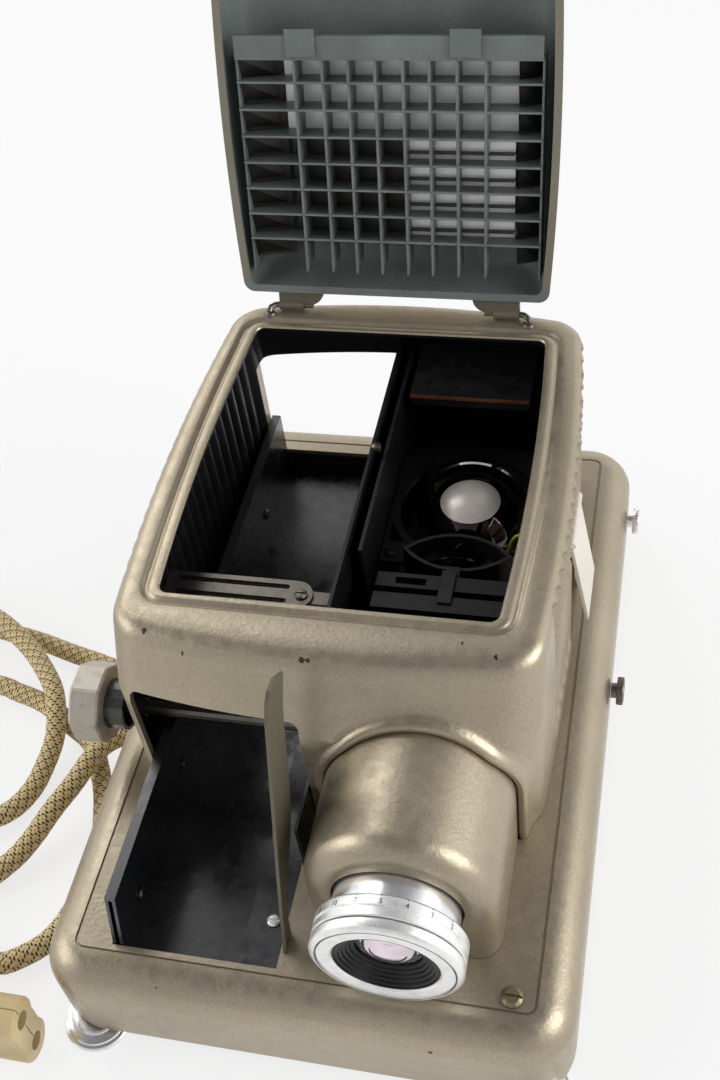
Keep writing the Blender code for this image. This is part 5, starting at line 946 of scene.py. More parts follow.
    def build(self) -> None:
        """Build the base and dress what it carries."""
        self.shell()
        self.wheels()
        self.thumbscrew("front", 0.015, Coat.STEEL)
        self.thumbscrew("rear", 0.112, Coat.CHROME)
        dress(Coat.STEEL, "base_bottom_plate", "foot_front_left_stem", "foot_front_right_stem")
        dress(Coat.BRASS, "base_top_screw", edge=0.0002)
        dress(Coat.RUBBER, "foot_rear_left", "foot_rear_right")
        dress(Coat.BAKELITE, "inlet_body", edge=0.0004)


@dataclass
class Track:
    """The black magazine track with its rail, screws and the guide blade beside it."""

    def build(self) -> None:
        """Dress the folded sheets, with small rounded edges that catch the light."""
        dress(Coat.BLACK, "track", "track_right_rail", edge=0.0003)
        dress(Coat.STEEL, "track_wall_screw_1", "track_wall_screw_2", "track_wall_screw_3")
        dress(Coat.SATIN, "shelf_screw")
        # The guide blade's darker olive is painted shade on its right-facing face.
        dress(Coat.OLIVE_PAINTED_SHADE, "guide_blade", edge=0.0003)


@dataclass
class Housing:
    """The cast lamp housing: wide rolls, fluted sides, grooved rim, bead and lens shroud."""

    half_x: float = 0.082
    front: float = -0.0728
    rear: float = 0.137
    foot: float = 0.0503
    top: float = 0.1385
    corner: float = 0.013
    bow_x: float = 0.060
    bow_y: float = 0.075
    taper: float = 0.015
    wall: float = 0.002
    roll: tuple[float, float, float, float] = (0.0060, 0.0215, 0.0060, 0.0295)
    roll_shares: tuple[tuple[float, float, float, float], ...] = (
        (0.0, 0.0, 0.0, 1.0), (0.0, 0.124, 0.0, 0.813), (0.0, 0.247, 0.0, 0.627), (0.0, 0.366, 0.0, 0.457),
        (0.0, 0.484, 0.0, 0.288), (0.012, 0.54, 0.012, 0.203), (0.077, 0.605, 0.077, 0.125),
        (0.293, 0.70, 0.293, 0.06), (0.617, 0.837, 0.617, 0.016), (1.0, 1.0, 1.0, 0.0))
    levels: tuple[float, ...] = (0.056, 0.058, 0.060, 0.062, 0.064, 0.075, 0.090)
    shoulder: tuple[float, float] = (0.1005, 0.0995)
    runs: tuple[int, int] = (150, 26)
    rim_groove: tuple[float, float, float, float] = (0.0052, 0.0045, 0.0011, 0.0022)
    rim: tuple[float, float, float, float] = (0.0652, -0.0354, 0.115, 0.0035)
    rim_edge: tuple[tuple[float, float], ...] = ((0.0012, 0.0), (0.00048, 0.0001), (0.0, 0.0007))
    rim_bow: float = 0.045
    rim_x: float = -0.0008
    flute_pitch: float = 0.0081
    flute_depth: float = 0.0032
    flute_y: tuple[float, float] = (-0.029, 0.127)
    flute_top: tuple[float, float] = (0.1325, 0.1366)
    flute_foot: tuple[float, float] = (0.056, 0.064)
    flute_fade: tuple[float, float] = (0.001, 0.0022)
    tunnel_x: tuple[float, float] = (-0.071, -0.005)
    tunnel_low: float = 0.04
    tunnel_corner: float = 0.004
    vent: tuple[Point, Point] = ((0.074, 0.022, 0.056), (0.090, 0.052, 0.1168))
    axis: tuple[float, float] = (0.0363, 0.082)
    shroud: float = 0.0345
    shroud_front: float = -0.1178
    shroud_roll: float = 0.0092
    shroud_wall: float = 0.003
    shroud_seat: float = 0.012
    shroud_hole: tuple[float, float] = (0.0233, 0.0003)
    arch_steps: int = 40
    leg_steps: int = 4
    bead_proud: float = 0.0022
    bead_lean: float = 0.62
    bead_reach: float = 0.0790
    bead_gap: float = 0.0003
    bead_ridge: tuple[tuple[float, float], ...] = (
        (0.0, 0.0120), (0.0, 0.0012), (0.0003, 0.0005), (0.0009, 0.0), (0.0017, -0.0001), (0.0025, 0.0002),
        (0.0032, 0.0009), (0.0037, 0.0019))
    bead_fillet: tuple[tuple[float, float], ...] = (
        (0.0040, 0.42), (0.0044, 0.68), (0.0050, 0.86), (0.0058, 0.96), (0.0067, 1.05))
    button: Point = (-0.0012, 0.0600, 0.1240)
    button_profile: tuple[tuple[float, float], ...] = (
        (0.0, -0.0009), (0.0019, -0.0009), (0.0021, 0.0004), (0.0019, 0.0012), (0.0010, 0.0016), (0.0, 0.0017))

    def row(self, z: float, share: Sequence[float] = (0.0, 0.0, 0.0, 0.0),
            draw_in: float = 0.0) -> list[Point]:
        """Return one ring of the skin, with its flutes.

        Args:
            z: its level.
            share: how much of the roll it has at the sides, the front, the rear and downward.
            draw_in: how far inside the outer skin it lies.

        Returns:
            The ring's points.
        """
        side, front, rear, _ = (whole * part for whole, part in zip(self.roll, share))
        return self.fluted(plan_ring(
            self.half_x - side - draw_in, self.front + front + draw_in, self.rear - rear - draw_in,
            self.corner * (1 - share[0] / 2) - draw_in / 2, z, self.bow_x, self.bow_y, self.taper,
            runs=self.runs))

    def rim_ring(self, z: float, sides: float, ends: float, rounder: float) -> list[Point]:
        """Return the window's outline at a level, grown at its sides, ends and corners."""
        half, front, rear, corner = self.rim
        return plan_ring(half + sides, front - ends, rear + ends, corner + rounder, z, self.rim_bow, 0.0, 0.0,
                         self.rim_x, runs=self.runs)

    def fluted(self, ring: list[Point]) -> list[Point]:
        """Draw the flutes into a ring's sides: scoops that end below the shoulder."""
        first, last = self.flute_y
        along, upward = self.flute_fade
        low, high = self.flute_top
        result = []
        for x, y, z in ring:
            inside = eased(y, first, first + along) * (1 - eased(y, last - along, last))
            phase = (y - first) / self.flute_pitch
            phase -= math.floor(phase)
            scoop = math.sin(math.pi * phase) ** 0.7 if 0 < phase < 1 else 0.0
            rise = low + (high - low) * scoop
            tall = (1 - eased(z, rise - upward, rise)) * eased(z, *self.flute_foot)
            depth = self.flute_depth * scoop * tall * inside
            result.append((x - math.copysign(depth, x), y, z) if abs(x) > self.half_x * 0.75 else (x, y, z))
        return result

    def outer_rings(self) -> list[list[Point]]:
        """Return the rings from the foot over the roll to the rim's edge."""
        rings = [self.row(z) for z in (self.foot, *self.levels, self.shoulder[0])]
        rings += [self.row(self.top - self.roll[3] * share[3], share) for share in through(self.roll_shares,
                                                                                           5)]
        side, ends, deep, wide = self.rim_groove
        for k in range(-4, 5):
            out, dip = -wide * k / 4, deep * math.cos(math.pi / 2 * k / 4) ** 2
            rings.append(self.rim_ring(self.top - dip, side + out, ends + out, side * 0.7 + out))
        rings += [self.rim_ring(self.top - dip, grow, grow, grow) for grow, dip in self.rim_edge]
        return rings

    def openings(self) -> list[bpy.types.Mesh]:
        """Return what cuts the slide tunnel's ends, the lens, the changer's rod and the vent."""
        left, right = self.tunnel_x
        low, r = self.tunnel_low, self.tunnel_corner
        cutters = []
        for y0, y1, high in ((self.front - 0.01, self.front + 0.03, 0.1146),
                             (self.rear - 0.016, self.rear + 0.01, 0.110)):
            outline = [(left, low), (right, low)] + arc((right - r, high - r), r, 0, math.pi / 2, 5) \
                + arc((left + r, high - r), r, math.pi / 2, math.pi, 5)
            bm = bmesh.new()
            prism(bm, outline, y0, y1, "y")
            cutters.append(cutter_mesh(bm))
        ax, az = self.axis
        cutters.append(revolve([(0.0, 0.0), (0.030, 0.0), (0.030, 0.020), (0.0, 0.020)],
                               (ax, self.front - 0.004, az), "y"))
        cutters.append(revolve([(0.0, 0.0), (0.0035, 0.0), (0.0035, 0.016), (0.0, 0.016)],
                               (-0.086, -0.046, 0.0775),
                               "x", 32))
        cutters.append(cut_box(*self.vent))
        return cutters

    def shell(self) -> None:
        """Build the skin with its black inside and cut its openings."""
        rings = self.outer_rings()
        seam = len(rings) - 1
        ceiling = self.top - self.wall
        rings.append(self.rim_ring(ceiling, 0.0, 0.0, 0.0))
        rings += [self.row(ceiling - self.roll[3] * share[3], share, self.wall)
                  for share in reversed(self.roll_shares[:-1])]
        rings += [self.row(z, draw_in=self.wall) for z in (self.shoulder[1], *reversed(self.levels),
                                                           self.foot)]
        bm = bmesh.new()
        skin(bm, rings, closed=True, inner_from=seam)
        coats = [Coat.ENAMEL, Coat.INNER]
        mesh = carve(closed_mesh(bm, "housing", 50.0), self.openings(), coats)
        new_piece("housing_casting", mesh, coats, "base", ["housing_shell"])

    def arch(self, radius: float, y: float) -> list[Point]:
        """Return an arch round the optical axis that stands on the base."""
        ax, az = self.axis
        angles = [math.pi * k / self.arch_steps for k in range(self.arch_steps + 1)]
        top = [(ax + radius * math.cos(a), y, az + radius * math.sin(a)) for a in angles]
        rises = [self.foot + (az - self.foot) * k / self.leg_steps for k in range(self.leg_steps)]
        return [(ax + radius, y, z) for z in rises] + top + [(ax - radius, y, z) for z in reversed(rises)]

    def round_hole(self, radius: float, y: float) -> list[Point]:
        """Return a full circle round the axis, with its points spread as the arch's are."""
        ax, az = self.axis
        legs, half = self.leg_steps, self.arch_steps
        angles = [-math.pi / 2 * (0.9999 - k / legs) for k in range(legs)]
        angles += [math.pi * k / half for k in range(half + 1)]
        angles += [math.pi + math.pi / 2 * (k + 0.9999) / legs for k in range(legs)]
        return [(ax + radius * math.cos(a), y, az + radius * math.sin(a)) for a in angles]

    def bead_rings(self) -> list[list[Point]]:
        """Return the bead's rings: a round ridge at the shroud, then a hollow that runs out on the skin."""
        bm = bmesh.new()
        skin(bm, self.outer_rings())
        tree = BVHTree.FromBMesh(bm)
        bm.free()
        bore = self.shroud + self.bead_gap
        out_by, back_by = self.bead_ridge[-1]
        rings: list[list[Point]] = [[] for _ in self.bead_ridge + self.bead_fillet]
        for index, (cx, _, cz) in enumerate(self.arch(bore + out_by, 0.0)):
            foot = None
            for ring, (out, share) in zip(rings[len(self.bead_ridge):], self.bead_fillet):
                x, _, z = self.arch(bore + out, 0.0)[index]
                fit = 1.0 if abs(x) < self.bead_reach else max(0.0,
                                                               (self.bead_reach - abs(cx)) / (abs(x) - abs(cx)))
                px, pz = cx + (x - cx) * fit, cz + (z - cz) * fit
                hit = tree.ray_cast(Vector((px, -0.3, pz)), Vector((0.0, 1.0, 0.0)))[0]
                level = hit.y if hit else self.front
                foot = level if foot is None else foot
                face = self.front - self.bead_proud + self.bead_lean * (foot - self.front)
                start = face + back_by
                ring.append((px, start + (level - start) * share, pz))
            for ring, (out, y) in zip(rings, self.bead_ridge):
                x, _, z = self.arch(bore + out, 0.0)[index]
                ring.append((x, face + y, z))
        rings.append([(x, y + 0.004, z) for x, y, z in rings[-1]])
        return rings

    def front_works(self) -> None:
        """Build the bead with its hollow fillet, and the shroud that stands in it."""
        bm = bmesh.new()
        skin(bm, self.bead_rings(), closed=True)
        new_piece("shroud_bead", closed_mesh(bm, "bead", 50.0), [Coat.ENAMEL], "base")
        roll, front, radius = self.shroud_roll, self.shroud_front, self.shroud
        back, inner = self.front + self.shroud_seat, radius - self.shroud_wall
        hole, edge = self.shroud_hole
        rings = [self.arch(radius, back)]
        rings += [self.arch(radius - roll + across, front + roll - rise)
                  for rise, across in dome(roll, 0.0, math.pi / 2, 10)]
        rings += [self.round_hole(hole + edge, front), self.round_hole(hole, front + edge),
                  self.round_hole(hole, front + self.shroud_wall)]
        rings += [self.arch(inner, front + 0.004), self.arch(inner, back)]
        bm = bmesh.new()
        skin(bm, rings, closed=True)
        new_piece("shroud_casting", closed_mesh(bm, "shroud", 40.0), [Coat.ENAMEL], "base", ["lens_shroud"])

    def build(self) -> None:
        """Build the housing and dress its inner sheets."""
        self.shell()
        self.front_works()
        dress(Coat.INNER, "divider", "lamp_house_sheet", edge=0.0002)
        x, y, z = self.button
        profile = [(radius, z + rise) for radius, rise in self.button_profile]
        new_piece("divider_button", revolve(profile, (x, y, 0.0), "z", 32), [Coat.STEEL], "base")


@dataclass
class Changer:
    """The slide changer: guide plate over the channel, rod, collar and octagonal knob."""

    def build(self) -> None:
        """Dress the changer's parts; the knob's flats keep crisp bevelled edges."""
        dress(Coat.STEEL, "changer_guide_plate", "changer_slider", edge=0.0002)
        dress(Coat.STEEL, "changer_guide_screw")
        dress(Coat.BLACK, "changer_collar", edge=0.0003)
        dress(Coat.KNOB, "changer_knob", edge=0.0003)


@dataclass
class Lens:
    """The projection lens: sliding barrel, focusing ring, front ring, stepped mouth and glasses."""

    axis: tuple[float, float] = (0.0363, 0.082)
    barrel: float = 0.0223
    bore: float = 0.0187
    front: float = -0.1347
    rear: float = -0.079
    ring: float = 0.0265
    ring_length: float = 0.0080
    face: float = 0.0244
    mouth: float = 0.0184
    front_length: float = 0.0048
    edge: float = 0.0007
    digits: tuple[str, ...] = ("2", "3", "4", "5", "7", "10", "15")
    digit_height: float = 0.0026
    mouth_depth: float = 0.0054
    mouth_steps: int = 5
    glass_edge: float = 0.0012

    def turned(self, profile: Sequence[tuple[float, float]], facets: int = 96) -> bpy.types.Mesh:
        """Turn a profile of (radius, y) about the optical axis."""
        return revolve(profile, (self.axis[0], 0.0, self.axis[1]), "y", facets)

    def knurled(self, low: float, high: float, radius: float) -> bpy.types.Mesh:
        """Return the focusing ring, with fine grip lines cut round its rear band."""
        g, bore = self.edge, self.barrel + 0.0003
        m = low + (high - low) * 0.42
        return self.turned([
            (bore, high), (radius - g, high), (radius - 0.0001, high - g), (radius, high - 2 * g),
            (radius, m + g),
            (radius - g, m + g * 0.3), (radius - g, m - g * 0.3), (radius, m - g), (radius, low + g * 0.6),
            (radius - g * 0.6, low), (bore, low)])

    def numbers(self) -> None:
        """Engrave plain distance numbers round the ring's rear band as thin dark inlays."""
        ax, az = self.axis
        marks = []
        for index, text in enumerate(self.digits):
            curve = bpy.data.curves.new("digits", 'FONT')
            curve.body, curve.size, curve.align_x, curve.extrude = text, self.digit_height, 'CENTER', 0.00004
            item = bpy.data.objects.new("digits", curve)
            bpy.context.scene.collection.objects.link(item)
            graph = bpy.context.evaluated_depsgraph_get()
            digits = bpy.data.meshes.new_from_object(item.evaluated_get(graph))
            bpy.data.objects.remove(item)
            out = Matrix.Translation((ax, self.front + self.ring_length - 0.0036, az)) \
                @ Matrix.Rotation(math.pi / 2 - math.radians(35 + 19 * index), 4, 'Y') \
                @ Matrix.Translation((0, 0, self.ring + 0.00002))
            digits.transform(out)
            tick = box_mesh((-0.00008, -0.0008, -0.00003), (0.00008, 0.0, 0.00003))
            tick.transform(out @ Matrix.Translation((0, 0.0034, 0)))
            marks += [digits, cutter_mesh(tick)]
        new_piece("ring_numbers", joined(marks, "numbers"), [Coat.BLACK], "focus_ring")

    def glass(self, name: str, coat: Coat, y: float, radius: float, bulge: float,
              rings: Sequence[int] = ()) -> None:
        """Build one glass, more curved in front than behind.

        Args:
            name: the piece's name, which is that of its solid after the word lens.
            coat: its finish.
            y: its middle.
            radius: its half width.
            bulge: how far its front face stands out.
            rings: the steps of the front face that lie a little deeper, as coated rings do.
        """
        curve = (radius ** 2 + bulge ** 2) / (2 * bulge)
        half = math.asin(radius / curve)
        front = [(r, y - self.glass_edge - bulge + (curve - depth) + (0.0004 if k in rings else 0.0))
                 for k, (r, depth) in enumerate(dome(curve, 0.0, half, 12))]
        rear = [(r, y + self.glass_edge + bulge * 0.3 - 0.3 * (curve - depth))
                for r, depth in dome(curve, half, 0.0, 10)]
        new_piece(name, self.turned(front + rear), [coat], "lens", [f"lens_{name}"])

    def build(self) -> None:
        """Build the lens from barrel to mouth."""
        g = self.edge
        tube = [(self.bore, self.front), (self.barrel, self.front), (self.barrel, self.rear - 0.0006),
                (self.barrel - 0.0006, self.rear), (self.bore, self.rear)]
        new_piece("lens_tube", self.turned(tube), [Coat.CHROME], "lens", ["lens_barrel"])
        new_piece("focusing_ring", self.knurled(self.front, self.front + self.ring_length, self.ring),
                  [Coat.SATIN],
                  "focus_ring", ["lens_focus_ring"])
        self.numbers()
        high, r = self.front - 0.0003, self.ring
        low = high - self.front_length
        face_ring = [
            (self.mouth, high), (r - g, high), (r, high - g), (r, low + 2.6 * g), (r - 0.0002, low + 1.9 * g),
            (r - 0.0007, low + 1.1 * g), (r - 0.0016, low + 0.3 * g), (self.face, low),
            (self.face - 0.0002, low + 0.0003), (self.mouth + 0.0008, low + 0.0003),
            (self.mouth + 0.0004, low + 0.0006), (self.mouth, low + 0.0010)]
        new_piece("front_ring", self.turned(face_ring), [Coat.SATIN], "lens", ["lens_front_ring"])
        mouth, depth, steps = low + 0.0008, self.mouth_depth, self.mouth_steps
        profile = [(0.0118, mouth + depth), (0.0182, mouth + depth), (0.0182, mouth)]
        for k in range(steps):
            radius, y = 0.0178 - 0.0056 * k / steps, mouth + depth * k / steps
            profile += [(radius, y), (radius - 0.0001, y + depth / steps * 0.7),
                        (radius - 0.0006, y + depth / steps * 0.98)]
        new_piece("mouth_cone", self.turned(profile), [Coat.INNER], "lens", ["lens_inner_cone"])
        line = [(self.face - inset, level)
                for inset, level in ((g, low), (0.0003, low), (0.0003, low - 0.00003), (g, low - 0.00003))]
        new_piece("face_ring_line", self.turned(line), [Coat.INNER], "lens")
        self.glass("front_glass", Coat.COATED, mouth + depth + 0.0030, 0.0124, 0.0044, rings=(6, 9))
        self.glass("rear_glass", Coat.GLASS, self.rear - 0.006, 0.0183, 0.0024)
        dress(Coat.BLACK, "lens_sleeve")


@dataclass
class LampHouse:
    """The lamp with its silvered crown, plate, mirror, condenser, gate, heat shelf and wires."""

    place: tuple[float, float, float] = (0.0363, 0.0590, 0.082)
    bulb: float = 0.0195
    crown: float = 0.0125
    neck: float = 0.0105
    glass_wall: float = 0.0006
    lamp_foot: float = 0.0612
    mirror_radius: float = 0.0262
    mirror_half: float = 0.020
    mirror_wall: float = 0.0009
    stem: float = 0.003

    def lamp(self) -> None:
        """Build the bulb of blown glass; its crown is silvered inside."""
        x, y, z = self.place
        r, wall = self.bulb, self.glass_wall
        crown, end = math.asin(self.crown / r), math.pi - math.asin(self.neck / r)
        outer = dome(r, 0.0, crown, 8, z) + dome(r, crown, end, 16, z)[1:]
        inner = dome(r - wall, end, crown, 16, z)[:-1] + dome(r - wall, crown, 0.0, 8, z)
        profile = outer + [(self.neck, self.lamp_foot), (self.neck - wall, self.lamp_foot)] + inner
        mesh = revolve(profile, (x, y, 0.0), "z", 72, inner=range(8))
        new_piece("lamp_glass", mesh, [Coat.BULB, Coat.SILVER], "base", ["lamp_bulb"])
        mount = [revolve([(0.0, 0.0), (0.0030, 0.0), (0.0026, 0.018), (0.0, 0.018)], (x, y, self.lamp_foot),
                         "z", 24)]
        for sign in (-1, 1):
            route = [Vector((x + sign * out, y, level))
                     for out, level in ((0.0024, 0.078), (0.0045, 0.084), (0.0045, 0.090), (0.002, 0.0905))]
            mount.append(tube_mesh("lead", route, 0.0004, 8))
        coil = [Vector((x - 0.0045 + 0.009 * k / 60, y + 0.0012 * math.cos(k * 0.9),
                        0.0895 + 0.0012 * math.sin(k * 0.9))) for k in range(61)]
        mount.append(tube_mesh("filament", coil, 0.0002, 6))
        new_piece("lamp_mount", joined(mount, "mount"), [Coat.STEEL], "base")

    def wires(self) -> None:
        """Lay the sleeved wire from the socket, and the second one beside the lamp plate."""
        routes = (
            ("socket_wire", 0.0013, ["lamp_wire"], (
                (0.0511, 0.0620, 0.0540), (0.0540, 0.0660, 0.0610), (0.0575, 0.0680, 0.0700),
                (0.0600, 0.0650, 0.0780),
                (0.0620, 0.0570, 0.0810), (0.0632, 0.0490, 0.0770), (0.0635, 0.0430, 0.0670),
                (0.0635, 0.0410, 0.0580),
                (0.0635, 0.0408, 0.0518))),
            ("plate_wire", 0.0006, [], (
                (0.0700, 0.0300, 0.1010), (0.0640, 0.0360, 0.1030), (0.0575, 0.0385, 0.1000),
                (0.0530, 0.0400, 0.0850),
                (0.0490, 0.0420, 0.0700), (0.0471, 0.0436, 0.0600), (0.0466, 0.0440, 0.0520))))
        for name, radius, nodes, route in routes:
            new_piece(name, tube_mesh(name, smooth_path(route, 60), radius, 12), [Coat.WIRE], "base", nodes)

    def mirror(self) -> None:
        """Build the dished mirror behind the lamp, on its stem."""
        x, y, z = self.place
        back = self.mirror_radius + self.mirror_wall
        reach = math.asin(self.mirror_half / back)
        dish = dome(back, 0.0, reach, 12) + dome(self.mirror_radius, reach, 0.0, 12)
        foot, top = 0.0503, z + self.stem
        stem = revolve([(0.0, foot), (self.stem, foot), (self.stem, top), (0.0, top)],
                       (x, y + self.mirror_radius + 0.0034, 0.0), "z", 24)
        mesh = joined([revolve(dish, (x, y, z), "y", 64), stem], "mirror")
        new_piece("lamp_mirror", mesh, [Coat.MIRROR], "base", ["mirror"])

    def build(self) -> None:
        """Build the lamp house's own pieces and dress the rest."""
        self.lamp()
        self.wires()
        self.mirror()
        dress(Coat.BAKELITE, "lamp_socket", edge=0.0003)
        dress(Coat.INNER, "lamp_plate", "gate_frame", edge=0.0003)
        dress(Coat.DARK, "lamp_plate_screw", "condenser_strap")
        dress(Coat.INNER, "heat_shelf", edge=0.0002)
        dress(Coat.DARK, "condenser_holder", edge=0.0002)
        strip = box_mesh((0.0062, 0.0956, 0.1195), (0.0568, 0.0959, 0.1211))
        new_piece("shelf_edge", closed_mesh(strip, "shelf_edge"), [Coat.COPPER], "base")
        dress(Coat.GLASS, "condenser_lens")


@dataclass
class Lid:
    """The dished lid, open on its rear hinge, with its egg-crate baffle and near-white backing sheets painted as
    reflection.
    """

    x: float = -0.0044
    half_x: float = 0.069
    rear: float = 0.121
    length: float = 0.1640
    height: float = 0.0230
    seat: float = 0.1389
    wall: float = 0.0016
    corner: float = 0.0045
    bow: float = 0.045
    hinge: tuple[float, float] = (0.1275, 0.1412)
    opening: float = 105.5
    shares: tuple[tuple[float, float], ...] = (
        (0.0, 0.0), (0.015, 0.40), (0.045, 0.66), (0.10, 0.86), (0.20, 0.97), (0.34, 1.0))
    baffle: tuple[float, float, float] = (0.0614, 0.0905, 0.0085)
    lip: float = 0.0032
    lug: tuple[float, float, float] = (0.0425, 0.0198, 0.0024)
    pins: tuple[float, float] = (0.0545, 0.0012)
    first_short: float = 0.0016
    row_pitch: float = 0.01083
    depth: float = 0.012
    bar: float = 0.0009
    frame: float = 0.0014
    column_x: tuple[float, ...] = (-0.0418, -0.0304, -0.0199, -0.0090, 0.0021, 0.0126, 0.0235, 0.0348)
    rows: int = 8

    def swing(self) -> Matrix:
        """Return the swing about the hinge that opens the lid as it rests."""
        place = Matrix.Translation((0.0, *self.hinge))
        return place @ Matrix.Rotation(-math.radians(self.opening), 4, 'X') @ place.inverted()

    def ring(self, grow: float, z: float, draw: float = 0.0) -> list[Point]:
        """Return the lid's outline at a level, drawn in as the dish rises and by the wall inside."""
        inset = grow + draw
        return plan_ring(self.half_x - inset, self.rear - self.length + inset, self.rear - inset,
                         self.corner + grow / 4 - draw / 2, z, self.bow, 0.0, 0.0, self.x, runs=(16, 16))

    def shell(self) -> None:
        """Build the lid's dished shell: enamel outside, grey paint inside, worn at the rim."""
        fine = through([(a * self.half_x, b * self.height) for a, b in self.shares], 4)
        rings = [self.ring(g, self.seat + h) for g, h in fine]
        inner = [self.ring(g, self.seat + max(h - self.wall, 0.0016), self.wall) for g, h in reversed(fine)]
        inner += [self.ring(0.0, self.seat + 0.0012, self.lip), self.ring(0.0, self.seat, self.lip)]
        bm = bmesh.new()
        total = hollow(bm, rings, inner)
        for face in bm.faces:
            inside = all(v.index >= total for v in face.verts)
            if max(v.co.z for v in face.verts) < self.seat + 0.0001:
                face.material_index = 1 if face.calc_center_median().y > self.rear - 0.006 else 2
            else:
                face.material_index = 1 if inside else 0
        new_piece("lid_casting", closed_mesh(bm, "lid", 40.0), [Coat.ENAMEL, Coat.LID_GREY, Coat.EDGE], "lid",
                  ["lid_shell"], self.swing())

    def level(self, row: float) -> float:
        """Return the closed lid's y at a row's start, counted from the flange."""
        _, length, inset = self.baffle
        return self.rear - inset - length + self.frame + max(row * self.row_pitch - self.first_short, 0.0)

    def egg_crate(self) -> None:
        """Build the baffle of thin crossed bars, with its flange and wide outer columns."""
        half, length, inset = self.baffle
        rear, front = self.rear - inset, self.rear - inset - length
        low = self.seat + self.bar
        top = low + self.depth
        b = self.bar / 2
        bm = bmesh.new()
        for row in range(self.rows):
            y = self.level(row) - b
            box_mesh((self.x - half, y - b, low), (self.x + half, y + b, top), bm)
        for x in self.column_x:
            section = [(front, low), (rear - 0.001, low), (rear - 0.0035, low + 0.004), (rear - 0.0035, top),
                       (front, top)]
            prism(bm, section, x - b, x + b)
        for sign in (-1, 1):
            edge = self.x + sign * half
            box_mesh((edge - b, front, low + 0.002), (edge + b, rear, top), bm)
        flange = [(front - 0.008, low), (front + 0.0006, low), (front + 0.0006, low + 0.0012),
                  (front - 0.0070, low + 0.0012), (front - 0.0074, low + 0.0030),
                  (front - 0.008, low + 0.0030)]
        prism(bm, flange, self.x - half, self.x + half)
        piece = new_piece("egg_crate_baffle", closed_mesh(bm, "baffle"), [Coat.LID_GREY], "lid",
                          ["lid_baffle"],
                          self.swing())
        soften(piece, 0.00015)

    def backing(self) -> None:
        """Lay near-white sheets behind the cells as painted reflection, darker sheets behind the lower rows, and
        dark slanted plates in the outer columns as painted shade.
        """
        half = self.baffle[0]
        low = self.seat + self.bar
        top = low + self.depth
        first, last, middle = self.column_x[0], self.column_x[-1], self.column_x[4]
        bright, grey = bmesh.new(), bmesh.new()
        # Near-white sheets: painted reflection of the cells' metal backs.
        box_mesh((first - 0.0072, self.level(0), top + 0.0004), (last + 0.012, self.level(3), top + 0.0010),
                 bright)
        box_mesh((middle, self.level(3) + 0.001, low + 0.0088),
                 (last + 0.011, self.level(7) - 0.001, low + 0.0092),
                 bright)
        box_mesh((first - 0.006, self.level(3), top + 0.0004), (middle, self.level(7) + 0.004, top + 0.0010),
                 grey)
        for y in (self.level(row) for row in range(3, 7)):
            box_mesh((middle, y + 0.0066, low + 0.0056), (last + 0.011, y + 0.0072, low + 0.0088), grey)
        # Dark slanted plates in the outer columns: painted shade in their deep cells.
        left, right = self.x - half, self.x + half
        for x0, x1 in ((left + 0.0004, first - 0.0075), (last + 0.0125, right - 0.0004)):
            for y in (self.level(row) for row in range(self.rows)):
                edge = [(x0, y + 0.0002, low + 0.0030), (x1, y + 0.0002, top), (x1, y + 0.0098, top),
                        (x0, y + 0.0098, low + 0.0062)]
                skin(grey, [edge, [(px, py, pz + 0.0004) for px, py, pz in edge]], capped=True)
        new_piece("backing_painted_reflection", closed_mesh(bright, "backing"), [Coat.PAINTED_REFLECTION_SHEET], "lid", turn=self.swing())
        new_piece("grey_backing_and_painted_shade", closed_mesh(grey, "grey_backing_and_painted_shade"), [Coat.DARK], "lid", turn=self.swing())

    def lugs(self) -> None:
        """Build the hinge lugs, each cut away in a curve on its inner side, and the pins' round feet."""
        y, z = self.hinge
        middle, width, barrel = self.lug
        for side, sign in (("left", -1), ("right", 1)):
            x = self.x + self.pins[1] + sign * middle
            inner, outer = x - sign * width / 2, x + sign * width / 2
            rise, across = self.rear + 0.0003, sign * width * 0.50
            outline = [(inner + across * (1 - math.cos(a)), rise + (y - self.rear) * math.sin(a))
                       for a in (math.pi / 2 * k / 8 for k in range(9))] + [(outer, y), (outer, rise)]
            arm = bmesh.new()
            prism(arm, outline, z - barrel / 2, z + barrel * 0.9, "z")
            roll = revolve([(0.0016, 0.0), (barrel, 0.0), (barrel, width * 0.55), (0.0016, width * 0.55)],
                           (min(outer, outer - sign * width * 0.55), y, z), "x", 24)
            # The lugs take the olive enamel that is painted darker as shade.
            new_piece(f"lid_lug_{side}", joined([cutter_mesh(arm), roll], "lug"), [Coat.OLIVE_PAINTED_SHADE], "lid",
                      [f"hinge_lug_{side}"], self.swing())
            foot = self.x + self.pins[1] + sign * (self.pins[0] + 0.0021)
            button = [(0.0, 0.0017), (0.0012, 0.0016), (0.0021, 0.0011), (0.0025, 0.0004), (0.0026, 0.0),
                      (0.0, 0.0)]
            new_piece(f"pin_foot_{side}", revolve(button, (foot, y - 0.00364, self.seat - 0.0004), "z", 24),
                      [Coat.STEEL], "base")

    def build(self) -> None:
        """Build the shell and backing, and dress baffle, clips, lugs and pins."""
        self.shell()
        self.egg_crate()
        self.backing()
        self.lugs()
        dress(Coat.LID_GREY, "lid_clip_left", "lid_clip_right", edge=0.0002)
        dress(Coat.STEEL, "hinge_pin_left", "hinge_pin_right")


@dataclass
class VentFlap:
    """The sheet flap over the vent in the housing's side."""

    def build(self) -> None:
        """Dress the flap in near-white enamel, a painted reflection."""
        dress(Coat.PAINTED_REFLECTION_ENAMEL, "vent_flap", edge=0.0003)


